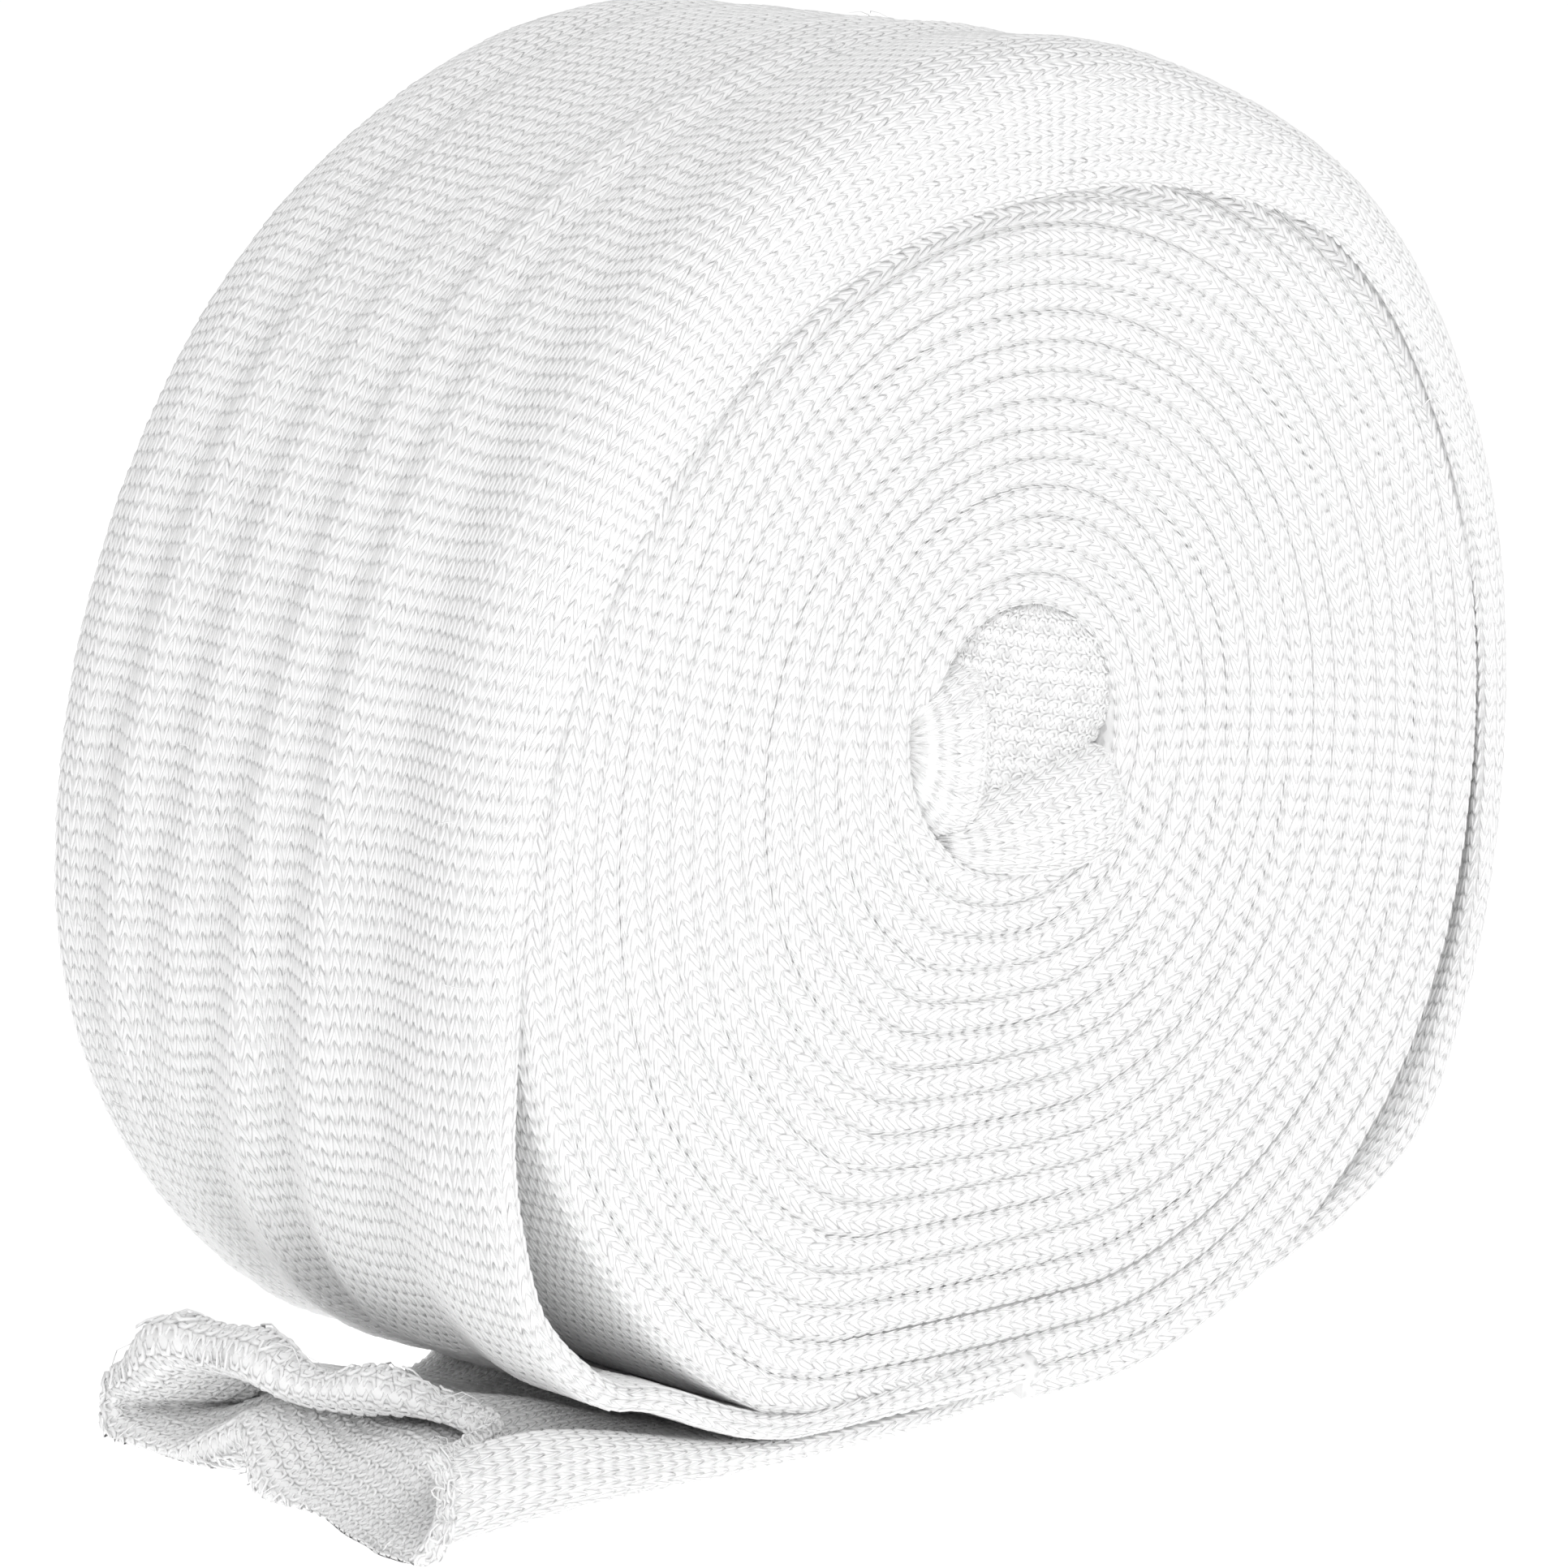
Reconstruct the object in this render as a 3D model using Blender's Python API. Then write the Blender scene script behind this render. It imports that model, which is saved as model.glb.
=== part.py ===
"""Tubular bandage: one long knitted tube, pressed flat and wound into a roll that lies on its rim.

The roll's axis lies along Y and the floor is at Z = 0. The near face looks towards -Y and the
free end lies on the floor towards -X. Followed from the free end, the tube passes under the roll
and makes one loose turn round it: up the +X side, over the top and down the -X side. It then lies
on its own tail and winds inwards in tight turns, as far as its folded inner end in the core.
"""

import math

import bmesh
import bpy

# Driving sizes, in metres
ROLL_DIAMETER = 0.124        # across the tight turns
TUBE_WIDTH = 0.064           # the tube pressed flat, which is the roll's width
TURN_COUNT = 17
CORE_DIAMETER = 0.027
KNIT_THICKNESS = 0.0008      # one wall of the tube
TURN_GAP = 0.0003            # between one turn and the next
PRESSED_SLIT = 0.0003        # between the tube's two walls where it is pressed flat
OUTER_TURN_THICKNESS = 0.0024
LOOSE_GAP = 0.0075           # the loose turn's widest distance from the roll
NEAR_DROOP = 0.012           # how far the loose turn hangs over the near face
SHOULDER_RADIUS = 0.0045     # of the bend over the roll's near edge
FOLD_DEPTH = 0.0009          # of the soft folds that run round the loose turn
FACE_UNEVENNESS = 0.0007     # how far a turn's edge stands out of the roll's face
FACE_WAVES = (2.3, 5.1)      # radians per turn of the two waves that this unevenness follows
FOLD_LEVEL = 0.5             # the share of FOLD_DEPTH that lies below the loose turn's own surface
EDGE_TAPER = 0.0012          # what the loose turn's far edge loses of its thickness
FREE_END_LENGTH = 0.058      # from under the roll to the open mouth
FREE_END_START = 0.014       # its hidden end, from the upright plane through the roll's axis
MOUTH_HEIGHT = 0.0088
LIP_THICKNESS = 0.0014       # what the rolled cut edge adds outside the wall
SIDE_ROUNDING = 0.0012       # of the free end's two folded sides, seen from above
SIDE_CORNER = 0.3            # and most of their height that one of their corners may take
CORE_SHIFT_X = -0.0010       # the core's centre from the roll's centre
CORE_SHIFT_Z = 0.0015

# How finely the forms are drawn
STEPS_PER_TURN = 30
LOOSE_TURN_STEP = 8.4        # degrees
FLAT_POINTS = 13             # across the loose turn's flat part
SHOULDER_POINTS = 4
MOUTH_STATIONS = 10
CORE_STEPS = 2               # points drawn from one row of the inner end's outline to the next
SHARP_ANGLE = 50.0           # degrees between two faces, past which their edge is shaded sharp

COTTON = (0.86, 0.86, 0.85, 1.0)
COTTON_ROUGHNESS = 0.92

# Worked out from the driving sizes
ROLL_RADIUS = ROLL_DIAMETER / 2
CORE_RADIUS = CORE_DIAMETER / 2
HALF_WIDTH = TUBE_WIDTH / 2
PRESSED_THICKNESS = 2 * KNIT_THICKNESS + PRESSED_SLIT
ROLL_BASE = PRESSED_THICKNESS + TURN_GAP

# The roll's outline. Angles run from the +X side over the top, and the radius is a share of
# ROLL_RADIUS. The roll's weight presses it flat below, ROLL_RADIUS under its centre.
ROLL_OUTLINE = (
    # angle, radius
    (-90, 1.030),
    (-75, 1.022),
    (-60, 1.036),
    (-35, 1.045),
    (-5, 1.010),
    (30, 1.005),
    (65, 0.995),
    (90, 0.990),
    (120, 0.985),
    (154, 1.000),
    (180, 1.035),
    (205, 1.110),
    (222, 1.130),
    (241, 1.130),
    (256, 1.080),
)

# The loose turn. Its stand-off at the near and far edge is a share of LOOSE_GAP, its droop one of
# NEAR_DROOP and its reach beyond the near face one of OUTER_TURN_THICKNESS. Pressed is 1 where the
# roll's weight presses it to the free end's thickness.
LOOSE_TURN = (
    # angle, stand_off_near, stand_off_far, droop, reach, pressed
    (-103, 0.00, 0.00, 0.00, -1.10, 1.0),
    (-80, 0.00, 0.00, 0.00, -2.20, 1.0),
    (-58, 0.02, 0.02, 0.00, -1.60, 0.4),
    (-42, 0.48, 0.28, 0.00, -0.90, 0.0),
    (-30, 0.46, 0.28, 0.02, -0.80, 0.0),
    (-5, 0.38, 0.24, 0.08, -0.60, 0.0),
    (25, 0.30, 0.20, 0.12, -0.20, 0.0),
    (46, 0.42, 0.24, 0.22, 0.50, 0.0),
    (66, 0.28, 0.26, 0.64, 0.90, 0.0),
    (92, 0.44, 0.38, 0.98, 0.90, 0.0),
    (122, 0.40, 0.12, 0.86, 0.90, 0.0),
    (154, 0.34, 0.04, 0.56, 0.90, 0.0),
    (180, 0.20, 0.20, 0.14, 0.45, 0.0),
    (196, 0.28, 0.28, 0.08, 0.10, 0.0),
    (208, 0.72, 0.30, 0.04, -0.10, 0.0),
    (217, 0.98, 0.32, 0.00, -0.20, 0.0),
    (227, 0.74, 0.30, 0.00, -0.30, 0.0),
    (238, 0.24, 0.26, 0.00, -0.40, 0.2),
    (248, 0.02, 0.10, 0.00, -0.40, 0.8),
    (268, 0.00, 0.00, 0.00, -0.40, 1.0),
)
LOOSE_TURN_END = 268.0
FOLDS_START = 10.0           # degrees from each end of the loose turn's round part
FOLDS_FADE_OVER = 30.0       # and the degrees over which they grow to their full height

# Soft folds round the loose turn: their place across its flat part, from the near edge, and their
# height as a share of FOLD_DEPTH. A fold drifts towards the far edge as it goes over the top.
SOFT_FOLDS = (
    # place, height, half_width
    (0.12, 0.6, 0.07),
    (0.34, 1.0, 0.09),
    (0.55, 0.8, 0.07),
    (0.72, 1.0, 0.07),
    (0.90, 0.6, 0.06),
)
FOLD_DRIFT = 0.10

# The free end's two folded sides seen from above, as shares of half TUBE_WIDTH: the near side is
# straight, and the far side is drawn in behind the roll and spreads again at the mouth.
FREE_END_SIDES = (
    # along, near, far
    (0.00, -1.00, 0.98),
    (0.16, -1.00, 0.84),
    (0.36, -1.00, 0.50),
    (0.58, -1.01, 0.34),
    (0.78, -1.03, 0.34),
    (0.90, -1.05, 0.43),
    (1.00, -1.09, 0.56),
)

# The open mouth, across the free end from its near edge. The heights are shares of MOUTH_HEIGHT
# and the pulls, which set the cut edge back from the mouth's plane, of FREE_END_LENGTH.
MOUTH_SECTION = (
    # across, lower_wall, upper_wall, lower_pull, upper_pull
    (0.00, 0.00, 0.96, -0.07, 0.14),
    (0.18, 0.02, 1.00, -0.03, 0.17),
    (0.36, 0.06, 0.94, 0.00, 0.15),
    (0.50, 0.16, 0.92, 0.00, 0.11),
    (0.61, 0.40, 0.98, 0.02, 0.09),
    (0.71, 0.32, 1.02, 0.04, 0.07),
    (0.83, 0.14, 0.98, 0.03, 0.04),
    (1.00, 0.16, 0.54, 0.03, 0.03),
)
MOUTH_OPENS_AT = (0.25, 0.84)    # the stretch of the near side over which it opens, as shares
FAR_SIDE_LAG = 0.14              # how much later the far side opens, as such a share
LIP_PROFILE = (
    # along, outside, inside: the last of the free end's length, and shares of LIP_THICKNESS
    (0.930, 0.00, 0.00),
    (0.955, 0.85, 0.00),
    (0.980, 1.00, 0.15),
    (1.000, 0.55, 0.45),
)

# The folded inner end seen on the near face, as shares of CORE_RADIUS: a left lobe, a middle lobe
# and a band below them, with the crease between them open at the lower left and a small hollow
# at the crease's right end.
INNER_END_OUTLINE = (
    # x, z
    (-0.97, 0.10),
    (-0.94, -0.28),
    (-0.70, -0.66),
    (-0.42, -0.50),
    (-0.40, -0.10),
    (-0.38, 0.28),
    (-0.33, -0.10),
    (-0.33, -0.42),
    (0.00, -0.39),
    (0.34, -0.30),
    (0.58, -0.16),
    (0.62, 0.12),
    (0.74, 0.14),
    (0.78, -0.10),
    (0.66, -0.31),
    (0.30, -0.44),
    (-0.08, -0.52),
    (-0.40, -0.64),
    (-0.38, -0.90),
    (0.06, -0.975),
    (0.54, -0.81),
    (0.88, -0.42),
    (0.975, 0.05),
    (0.86, 0.48),
    (0.53, 0.82),
    (0.06, 0.975),
    (-0.41, 0.88),
    (-0.76, 0.60),
)
INNER_END_ROUNDING = 0.10        # of its two ends, as a share of CORE_RADIUS


def smooth_value(table, at, column, period=None):
    """A table's column read at a place of its first column, on a smooth curve through the rows."""
    rows = [(row[0], row[column]) for row in table]
    if period:
        rows = (
            [(key - period, value) for key, value in rows[-2:]]
            + rows
            + [(key + period, value) for key, value in rows[:2]]
        )
        at = rows[1][0] + (at - rows[1][0]) % period
    at = min(max(at, rows[0][0]), rows[-1][0])
    last = len(rows) - 2
    i = min(next((k for k in range(last + 1) if at <= rows[k + 1][0]), last), last)
    (x0, y0), (x1, y1) = rows[i], rows[i + 1]
    before = rows[i - 1] if i else (2 * x0 - x1, y0)
    after = rows[i + 2] if i < last else (2 * x1 - x0, y1)
    width = x1 - x0
    slope0 = (y1 - before[1]) / (x1 - before[0]) * width
    slope1 = (after[1] - y0) / (after[0] - x0) * width
    t = (at - x0) / width
    return (
        y0 * (1 + 2 * t) * (1 - t) ** 2
        + slope0 * t * (1 - t) ** 2
        + y1 * t * t * (3 - 2 * t)
        + slope1 * t * t * (t - 1)
    )


def flattened(radius, angle, floor):
    """The radius, cut short where it would reach below a floor's height."""
    down = -math.sin(math.radians(angle))
    return min(radius, (roll_centre_height() - floor) / down) if down > 0 else radius


def roll_centre_height():
    """The height of the roll's centre, from the layer of tube that it rests on."""
    return ROLL_BASE + ROLL_RADIUS


def roll_outline(angle):
    """The radius of the roll's outline, before the winding steps it inwards."""
    radius = ROLL_RADIUS * smooth_value(ROLL_OUTLINE, angle, 1, 360)
    return flattened(radius, angle, ROLL_BASE)


def wound_point(turned, outwards=0.0):
    """X and Z of a point on the tight spiral's outer side, from the degrees turned since its start.

    Outwards moves the point along its radius.
    """
    angle = turned - 90
    share = 1 - turned / (360 * TURN_COUNT)
    radius = (1 - share) * CORE_RADIUS + share * roll_outline(angle) + outwards
    x = (1 - share) * CORE_SHIFT_X + radius * math.cos(math.radians(angle))
    z = (1 - share) * CORE_SHIFT_Z + radius * math.sin(math.radians(angle))
    return x, roll_centre_height() + z


def winding_radius(turned):
    """The radius of the spiral's outer side about the roll's centre."""
    x, z = wound_point(turned)
    return math.hypot(x, z - roll_centre_height())


def band_ring(outer, inner, near, far):
    """A flat band's section: six points round it, with its two folded edges at near and far."""
    bulge = math.dist(outer, inner) / 2
    middle = ((outer[0] + inner[0]) / 2, (outer[1] + inner[1]) / 2)
    return [
        (outer[0], near + bulge, outer[1]),
        (middle[0], near, middle[1]),
        (inner[0], near + bulge, inner[1]),
        (inner[0], far - bulge, inner[1]),
        (middle[0], far, middle[1]),
        (outer[0], far - bulge, outer[1]),
    ]


def lofted(name, rings, looped=False):
    """An object whose skin joins rings of equal count: capped at both ends, or closed in a loop."""
    shape = bmesh.new()
    rows = [[shape.verts.new(point) for point in ring] for ring in rings]
    pairs = list(zip(rows, rows[1:]))
    if looped:
        pairs.append((rows[-1], rows[0]))
    else:
        shape.faces.new(rows[0])
        shape.faces.new(rows[-1])
    for row, following in pairs:
        for i in range(len(row)):
            j = (i + 1) % len(row)
            shape.faces.new((row[i], row[j], following[j], following[i]))
    bmesh.ops.recalc_face_normals(shape, faces=shape.faces)
    mesh = bpy.data.meshes.new(name)
    shape.to_mesh(mesh)
    shape.free()
    mesh.shade_smooth()
    mesh.set_sharp_from_angle(angle=math.radians(SHARP_ANGLE))
    return bpy.data.objects.new(name, mesh)


def wound_turns():
    """The tight spiral of flat tube, each turn a band with folded edges on the two faces."""
    steps = (TURN_COUNT - 1) * STEPS_PER_TURN
    rings = []
    for step in range(steps + 1):
        turned = 360 * step / STEPS_PER_TURN
        outer = wound_point(turned)
        inner = wound_point(turned + 360, TURN_GAP)
        waves = [math.sin(turned / 360 * wave) for wave in FACE_WAVES]
        unevenness = FACE_UNEVENNESS * sum(waves) / len(waves)
        near = -HALF_WIDTH + FACE_UNEVENNESS - unevenness
        far = HALF_WIDTH - FACE_UNEVENNESS - unevenness
        rings.append(band_ring(outer, inner, near, far))
    return lofted("wound_turns", rings)


def loose_turn_path(turned):
    """The loose turn's outer radius at its near and far edge, and its thickness."""
    angle = turned - 90
    pressed = smooth_value(LOOSE_TURN, angle, 5)
    thickness = OUTER_TURN_THICKNESS + (PRESSED_THICKNESS - OUTER_TURN_THICKNESS) * pressed
    if turned < 0:
        seat = roll_centre_height() / math.cos(math.radians(turned))
        return seat, seat, thickness
    chord_depth = ROLL_RADIUS * (1 - math.cos(math.radians(LOOSE_TURN_STEP / 2)))
    against_roll = winding_radius(turned) + TURN_GAP + 2 * chord_depth + thickness
    floor = free_end_top(angle) + 2 * TURN_GAP if turned > 180 else 0.0
    near_off, far_off = (LOOSE_GAP * smooth_value(LOOSE_TURN, angle, k) for k in (1, 2))
    near_radius = flattened(against_roll + near_off, angle, floor)
    far_radius = flattened(against_roll + far_off, angle, floor)
    return near_radius, far_radius, thickness


def fold_height(across, turned):
    """The soft folds' relief at a place across the loose turn's flat part."""
    drift = FOLD_DRIFT * math.sin(math.radians(turned / 2))
    height = 0.0
    for place, share, half_width in SOFT_FOLDS:
        off = (across - place - drift) / half_width
        height += share * math.exp(-off * off)
    return FOLD_DEPTH * (height - FOLD_LEVEL) * math.sqrt(abs(math.sin(math.pi * across)))


def loose_turn_ring(turned):
    """The loose turn's section: its flat part, the bend over the near edge and what hangs down."""
    angle = turned - 90
    near_radius, far_radius, thickness = loose_turn_path(turned)
    droop = NEAR_DROOP * max(smooth_value(LOOSE_TURN, angle, 3), 0.0)
    reach = OUTER_TURN_THICKNESS * smooth_value(LOOSE_TURN, angle, 4)
    half = thickness / 2
    bend = math.acos(1 - min(droop / SHOULDER_RADIUS, 1))
    hang = max(droop - SHOULDER_RADIUS, 0)
    bend_y = -HALF_WIDTH - reach + SHOULDER_RADIUS * math.sin(bend)
    far_y = HALF_WIDTH - half
    from_end = min(turned, LOOSE_TURN_END - angle)
    ease = min(max((from_end - FOLDS_START) / FOLDS_FADE_OVER, 0.0), 1.0)
    outside = []
    inside = []
    for i in range(FLAT_POINTS):
        across = i / (FLAT_POINTS - 1)
        y = far_y + (bend_y - far_y) * across
        radius = far_radius + (near_radius - far_radius) * across
        lift = ease * fold_height(1 - across, turned)
        taper = EDGE_TAPER * ease * max(1 - across * (FLAT_POINTS - 1), 0)
        outside.append((y, radius + lift - taper))
        inside.append((y, radius - thickness))
    centre = near_radius - half - SHOULDER_RADIUS
    for i in range(1, SHOULDER_POINTS + 1):
        part = bend * i / SHOULDER_POINTS
        for side, spread in ((outside, half), (inside, -half)):
            arm = SHOULDER_RADIUS + spread
            side.append((bend_y - arm * math.sin(part), centre + arm * math.cos(part)))
    end_y = bend_y - SHOULDER_RADIUS * math.sin(bend)
    end_radius = centre + SHOULDER_RADIUS * math.cos(bend)
    along_y, along_radius = -math.cos(bend), -math.sin(bend)
    for side, spread in ((outside, half), (inside, -half)):
        y, radius = side[-1]
        side.append((y + along_y * max(hang, half), radius + along_radius * max(hang, half)))
    tip = max(hang, half) + half
    near_tip = (end_y + along_y * tip, end_radius + along_radius * tip)
    far_tip = (HALF_WIDTH, (outside[0][1] + inside[0][1]) / 2)
    ring = [far_tip] + outside + [near_tip] + inside[::-1]
    cos, sin = math.cos(math.radians(angle)), math.sin(math.radians(angle))
    return [(r * cos, y, roll_centre_height() + r * sin) for y, r in ring]


def outer_turn():
    """The one loose turn round the roll, which hangs over the near edge at the top."""
    start = -90 - math.degrees(math.atan((FREE_END_START - TURN_GAP) / roll_centre_height()))
    count = math.ceil((LOOSE_TURN_END - start) / LOOSE_TURN_STEP)
    rings = [
        loose_turn_ring(start + 90 + (LOOSE_TURN_END - start) * i / count)
        for i in range(count + 1)
    ]
    return lofted("outer_turn", rings)


def opened(along, across=0.0):
    """How far the free end has opened at a share of its length and of its width, from 0 to 1."""
    first, last = (edge + FAR_SIDE_LAG * across for edge in MOUTH_OPENS_AT)
    t = min(max((along - first) / (last - first), 0), 1)
    return t * t * (3 - 2 * t)


def free_end_top(angle):
    """The free end's height where the loose turn comes down on it, at an angle about the roll."""
    x = -roll_centre_height() / math.tan(math.radians(angle))
    along = (-x - FREE_END_START) / FREE_END_LENGTH
    return PRESSED_THICKNESS + (MOUTH_HEIGHT - PRESSED_THICKNESS) * opened(along)


def free_end_ring(along, outside, wall):
    """The free end's section at a share of its length: the outer skin, or with a wall the inner.

    Outside is what the rolled lip adds to the skin. The floor presses the skin flat from below.
    """
    near = HALF_WIDTH * smooth_value(FREE_END_SIDES, along, 1) + wall - outside
    far = HALF_WIDTH * smooth_value(FREE_END_SIDES, along, 2) - wall + outside
    count = 2 * len(MOUTH_SECTION) - 1
    lower = []
    upper = []
    for i in range(count):
        across = i / (count - 1)
        open_share = opened(along, across)
        y = near + SIDE_ROUNDING + (far - near - 2 * SIDE_ROUNDING) * across
        low = MOUTH_HEIGHT * smooth_value(MOUTH_SECTION, across, 1) * open_share
        high = MOUTH_HEIGHT * smooth_value(MOUTH_SECTION, across, 2)
        high = PRESSED_THICKNESS + (high - PRESSED_THICKNESS) * open_share
        for points, z, column in (
            (lower, max(low + wall - outside, wall), 3),
            (upper, high - wall + outside, 4),
        ):
            pull = FREE_END_LENGTH * smooth_value(MOUTH_SECTION, across, column)
            x = -FREE_END_START - FREE_END_LENGTH * along + pull * along * along
            points.append((x, y, z))
    ring = list(lower)
    for end, y in ((-1, far), (0, near)):
        low, high = lower[end], upper[end]
        corner = min(SIDE_ROUNDING, SIDE_CORNER * (high[2] - low[2]))
        side = [(low[0], y, low[2] + corner), (high[0], y, high[2] - corner)]
        ring += side + upper[::-1] if end else side[::-1]
    return ring


def free_end():
    """The open end of the tube on the floor, pressed flat under the roll, with a rolled mouth."""
    body = [LIP_PROFILE[0][0] * i / MOUTH_STATIONS for i in range(MOUTH_STATIONS)]
    outer = [free_end_ring(along, 0.0, 0.0) for along in body]
    inner = [free_end_ring(along, 0.0, KNIT_THICKNESS) for along in body]
    for along, outside, inside in LIP_PROFILE:
        outer.append(free_end_ring(along, outside * LIP_THICKNESS, 0.0))
        inner.append(free_end_ring(along, inside * LIP_THICKNESS, KNIT_THICKNESS))
    return lofted("free_end", outer + inner[::-1], looped=True)


def inner_end():
    """The tube's first length, folded over itself in the core."""
    centre_x = CORE_SHIFT_X
    centre_z = roll_centre_height() + CORE_SHIFT_Z
    closed = INNER_END_OUTLINE + INNER_END_OUTLINE[:1]
    table = [(i, x, z) for i, (x, z) in enumerate(closed)]
    outline = []
    for i in range(CORE_STEPS * len(INNER_END_OUTLINE)):
        at = i / CORE_STEPS
        outline.append([smooth_value(table, at, column) * CORE_RADIUS for column in (1, 2)])
    rounding = INNER_END_ROUNDING * CORE_RADIUS
    ends = HALF_WIDTH - FACE_UNEVENNESS
    rings = []
    places = (-ends, -ends + rounding, ends - rounding, ends)
    for y, inset in zip(places, (rounding, 0.0, 0.0, rounding)):
        ring = []
        for k, (x, z) in enumerate(outline):
            before, after = outline[k - 1], outline[(k + 1) % len(outline)]
            run_x, run_z = after[0] - before[0], after[1] - before[1]
            run = math.hypot(run_x, run_z)
            ring.append((centre_x + x - inset * run_z / run, y, centre_z + z + inset * run_x / run))
        rings.append(ring)
    return lofted("inner_end", rings)


def cotton():
    """Matt bleached cotton."""
    material = bpy.data.materials.new("bleached_cotton")
    material.use_nodes = True
    shader = material.node_tree.nodes["Principled BSDF"]
    shader.inputs["Base Color"].default_value = COTTON
    shader.inputs["Roughness"].default_value = COTTON_ROUGHNESS
    material.diffuse_color = COTTON
    return material


def main():
    for item in list(bpy.data.objects):
        bpy.data.objects.remove(item)
    collection = bpy.data.collections.new("tubular_bandage")
    bpy.context.scene.collection.children.link(collection)
    for piece in (wound_turns(), outer_turn(), free_end(), inner_end()):
        piece.data.materials.append(cotton())
        collection.objects.link(piece)


main()
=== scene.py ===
"""Tubular bandage: the looks of one knitted cotton tube, pressed flat and wound into a roll.

Lengths are in metres, in the frame's axes. The roll's axis lies along Y, its near face looks
towards -Y and the free end lies on the floor towards -X. Angles run about the roll's centre, from
+X over the top. Turned counts the degrees that the tube has turned since the roll's lowest line.
"""

import logging
import math
from dataclasses import dataclass, field, replace
from enum import Enum

import bpy
import numpy as np
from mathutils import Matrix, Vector


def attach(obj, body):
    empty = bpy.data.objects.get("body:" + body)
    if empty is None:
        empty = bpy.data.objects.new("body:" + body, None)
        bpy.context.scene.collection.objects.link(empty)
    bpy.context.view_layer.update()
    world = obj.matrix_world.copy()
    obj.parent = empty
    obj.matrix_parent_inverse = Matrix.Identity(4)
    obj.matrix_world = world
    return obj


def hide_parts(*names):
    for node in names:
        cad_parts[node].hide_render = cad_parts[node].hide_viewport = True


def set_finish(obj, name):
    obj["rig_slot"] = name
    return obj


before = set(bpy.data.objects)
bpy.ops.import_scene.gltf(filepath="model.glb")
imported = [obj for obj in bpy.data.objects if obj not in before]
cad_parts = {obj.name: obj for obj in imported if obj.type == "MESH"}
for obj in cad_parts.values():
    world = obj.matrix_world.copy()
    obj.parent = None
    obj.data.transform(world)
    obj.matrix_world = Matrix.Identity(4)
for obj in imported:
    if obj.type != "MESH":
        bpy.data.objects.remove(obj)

LOG = logging.getLogger("tubular_bandage")

Table = tuple[tuple[float, ...], ...]

COURSE = 0.0017      # one row of stitches along the tube
WALE = 0.0013        # one column of stitches across it
SHADER = "Principled BSDF"
WHITE = (1.0, 1.0, 1.0, 1.0)


def smooth_column(table: Table, column: int, at: np.ndarray | float) -> np.ndarray:
    """Reads a table's column on one smooth curve through its rows.

    Args:
        table: rows whose first column is the place along the curve.
        column: the column that is read.
        at: the places, which are held within the table's ends.

    Returns:
        The column's value at each place.
    """
    x = np.array([row[0] for row in table], float)
    y = np.array([row[column] for row in table], float)
    slope = np.empty_like(y)
    slope[1:-1] = (y[2:] - y[:-2]) / (x[2:] - x[:-2])
    slope[0] = (y[1] - y[0]) / (2 * (x[1] - x[0]))
    slope[-1] = (y[-1] - y[-2]) / (2 * (x[-1] - x[-2]))
    at = np.clip(np.asarray(at, float), x[0], x[-1])
    i = np.clip(np.searchsorted(x, at, side="right") - 1, 0, len(x) - 2)
    width = x[i + 1] - x[i]
    t = (at - x[i]) / width
    return (
        y[i] * (1 + 2 * t) * (1 - t) ** 2
        + slope[i] * width * t * (1 - t) ** 2
        + y[i + 1] * t * t * (3 - 2 * t)
        + slope[i + 1] * width * t * t * (t - 1)
    )


def resampled(points: np.ndarray, count: int) -> np.ndarray:
    """Spaces points evenly along a polyline.

    Args:
        points: the polyline's points, one a row.
        count: how many points to return.

    Returns:
        The new points, with the polyline's two ends kept.
    """
    steps = np.linalg.norm(np.diff(points, axis=0), axis=1)
    run = np.concatenate([[0.0], np.cumsum(steps)])
    at = np.linspace(0.0, run[-1], count)
    return np.stack([np.interp(at, run, points[:, k]) for k in range(points.shape[1])], axis=1)


def run_length(points: np.ndarray) -> np.ndarray:
    """The length run along a polyline at each of its points, from 0."""
    steps = np.linalg.norm(np.diff(points, axis=0), axis=1)
    return np.concatenate([[0.0], np.cumsum(steps)])


def feed(node: bpy.types.Node, sources: dict) -> None:
    """Feeds a node's inputs.

    Args:
        node: the node.
        sources: for each input, by name or number, the socket or value that feeds it.
    """
    for key, source in sources.items():
        if isinstance(source, bpy.types.NodeSocket):
            node.id_data.links.new(source, node.inputs[key])
        else:
            node.inputs[key].default_value = source


def add_node(
    tree: bpy.types.NodeTree, kind: str, sources: dict | None = None, **settings: object
) -> bpy.types.Node:
    """Adds a node.

    Args:
        tree: the tree that gets it.
        kind: Blender's name for the node.
        sources: what feeds its inputs.
        settings: the node's own properties.

    Returns:
        The node.
    """
    node = tree.nodes.new(kind)
    for key, value in settings.items():
        setattr(node, key, value)
    feed(node, sources or {})
    return node


class StitchKind(Enum):
    """How one stitch or one strand of yarn is drawn."""

    KNIT = "knit"      # the outside: two slanting legs that form a V
    PLAIN = "plain"    # the outside again, in fewer faces, for the side turned away
    PURL = "purl"      # the inside: the loops' round heads and feet
    LOOP = "loop"      # a loop that has come free along the cut edge
    FIBRE = "fibre"    # a fine loose end that stands off the cloth


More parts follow.
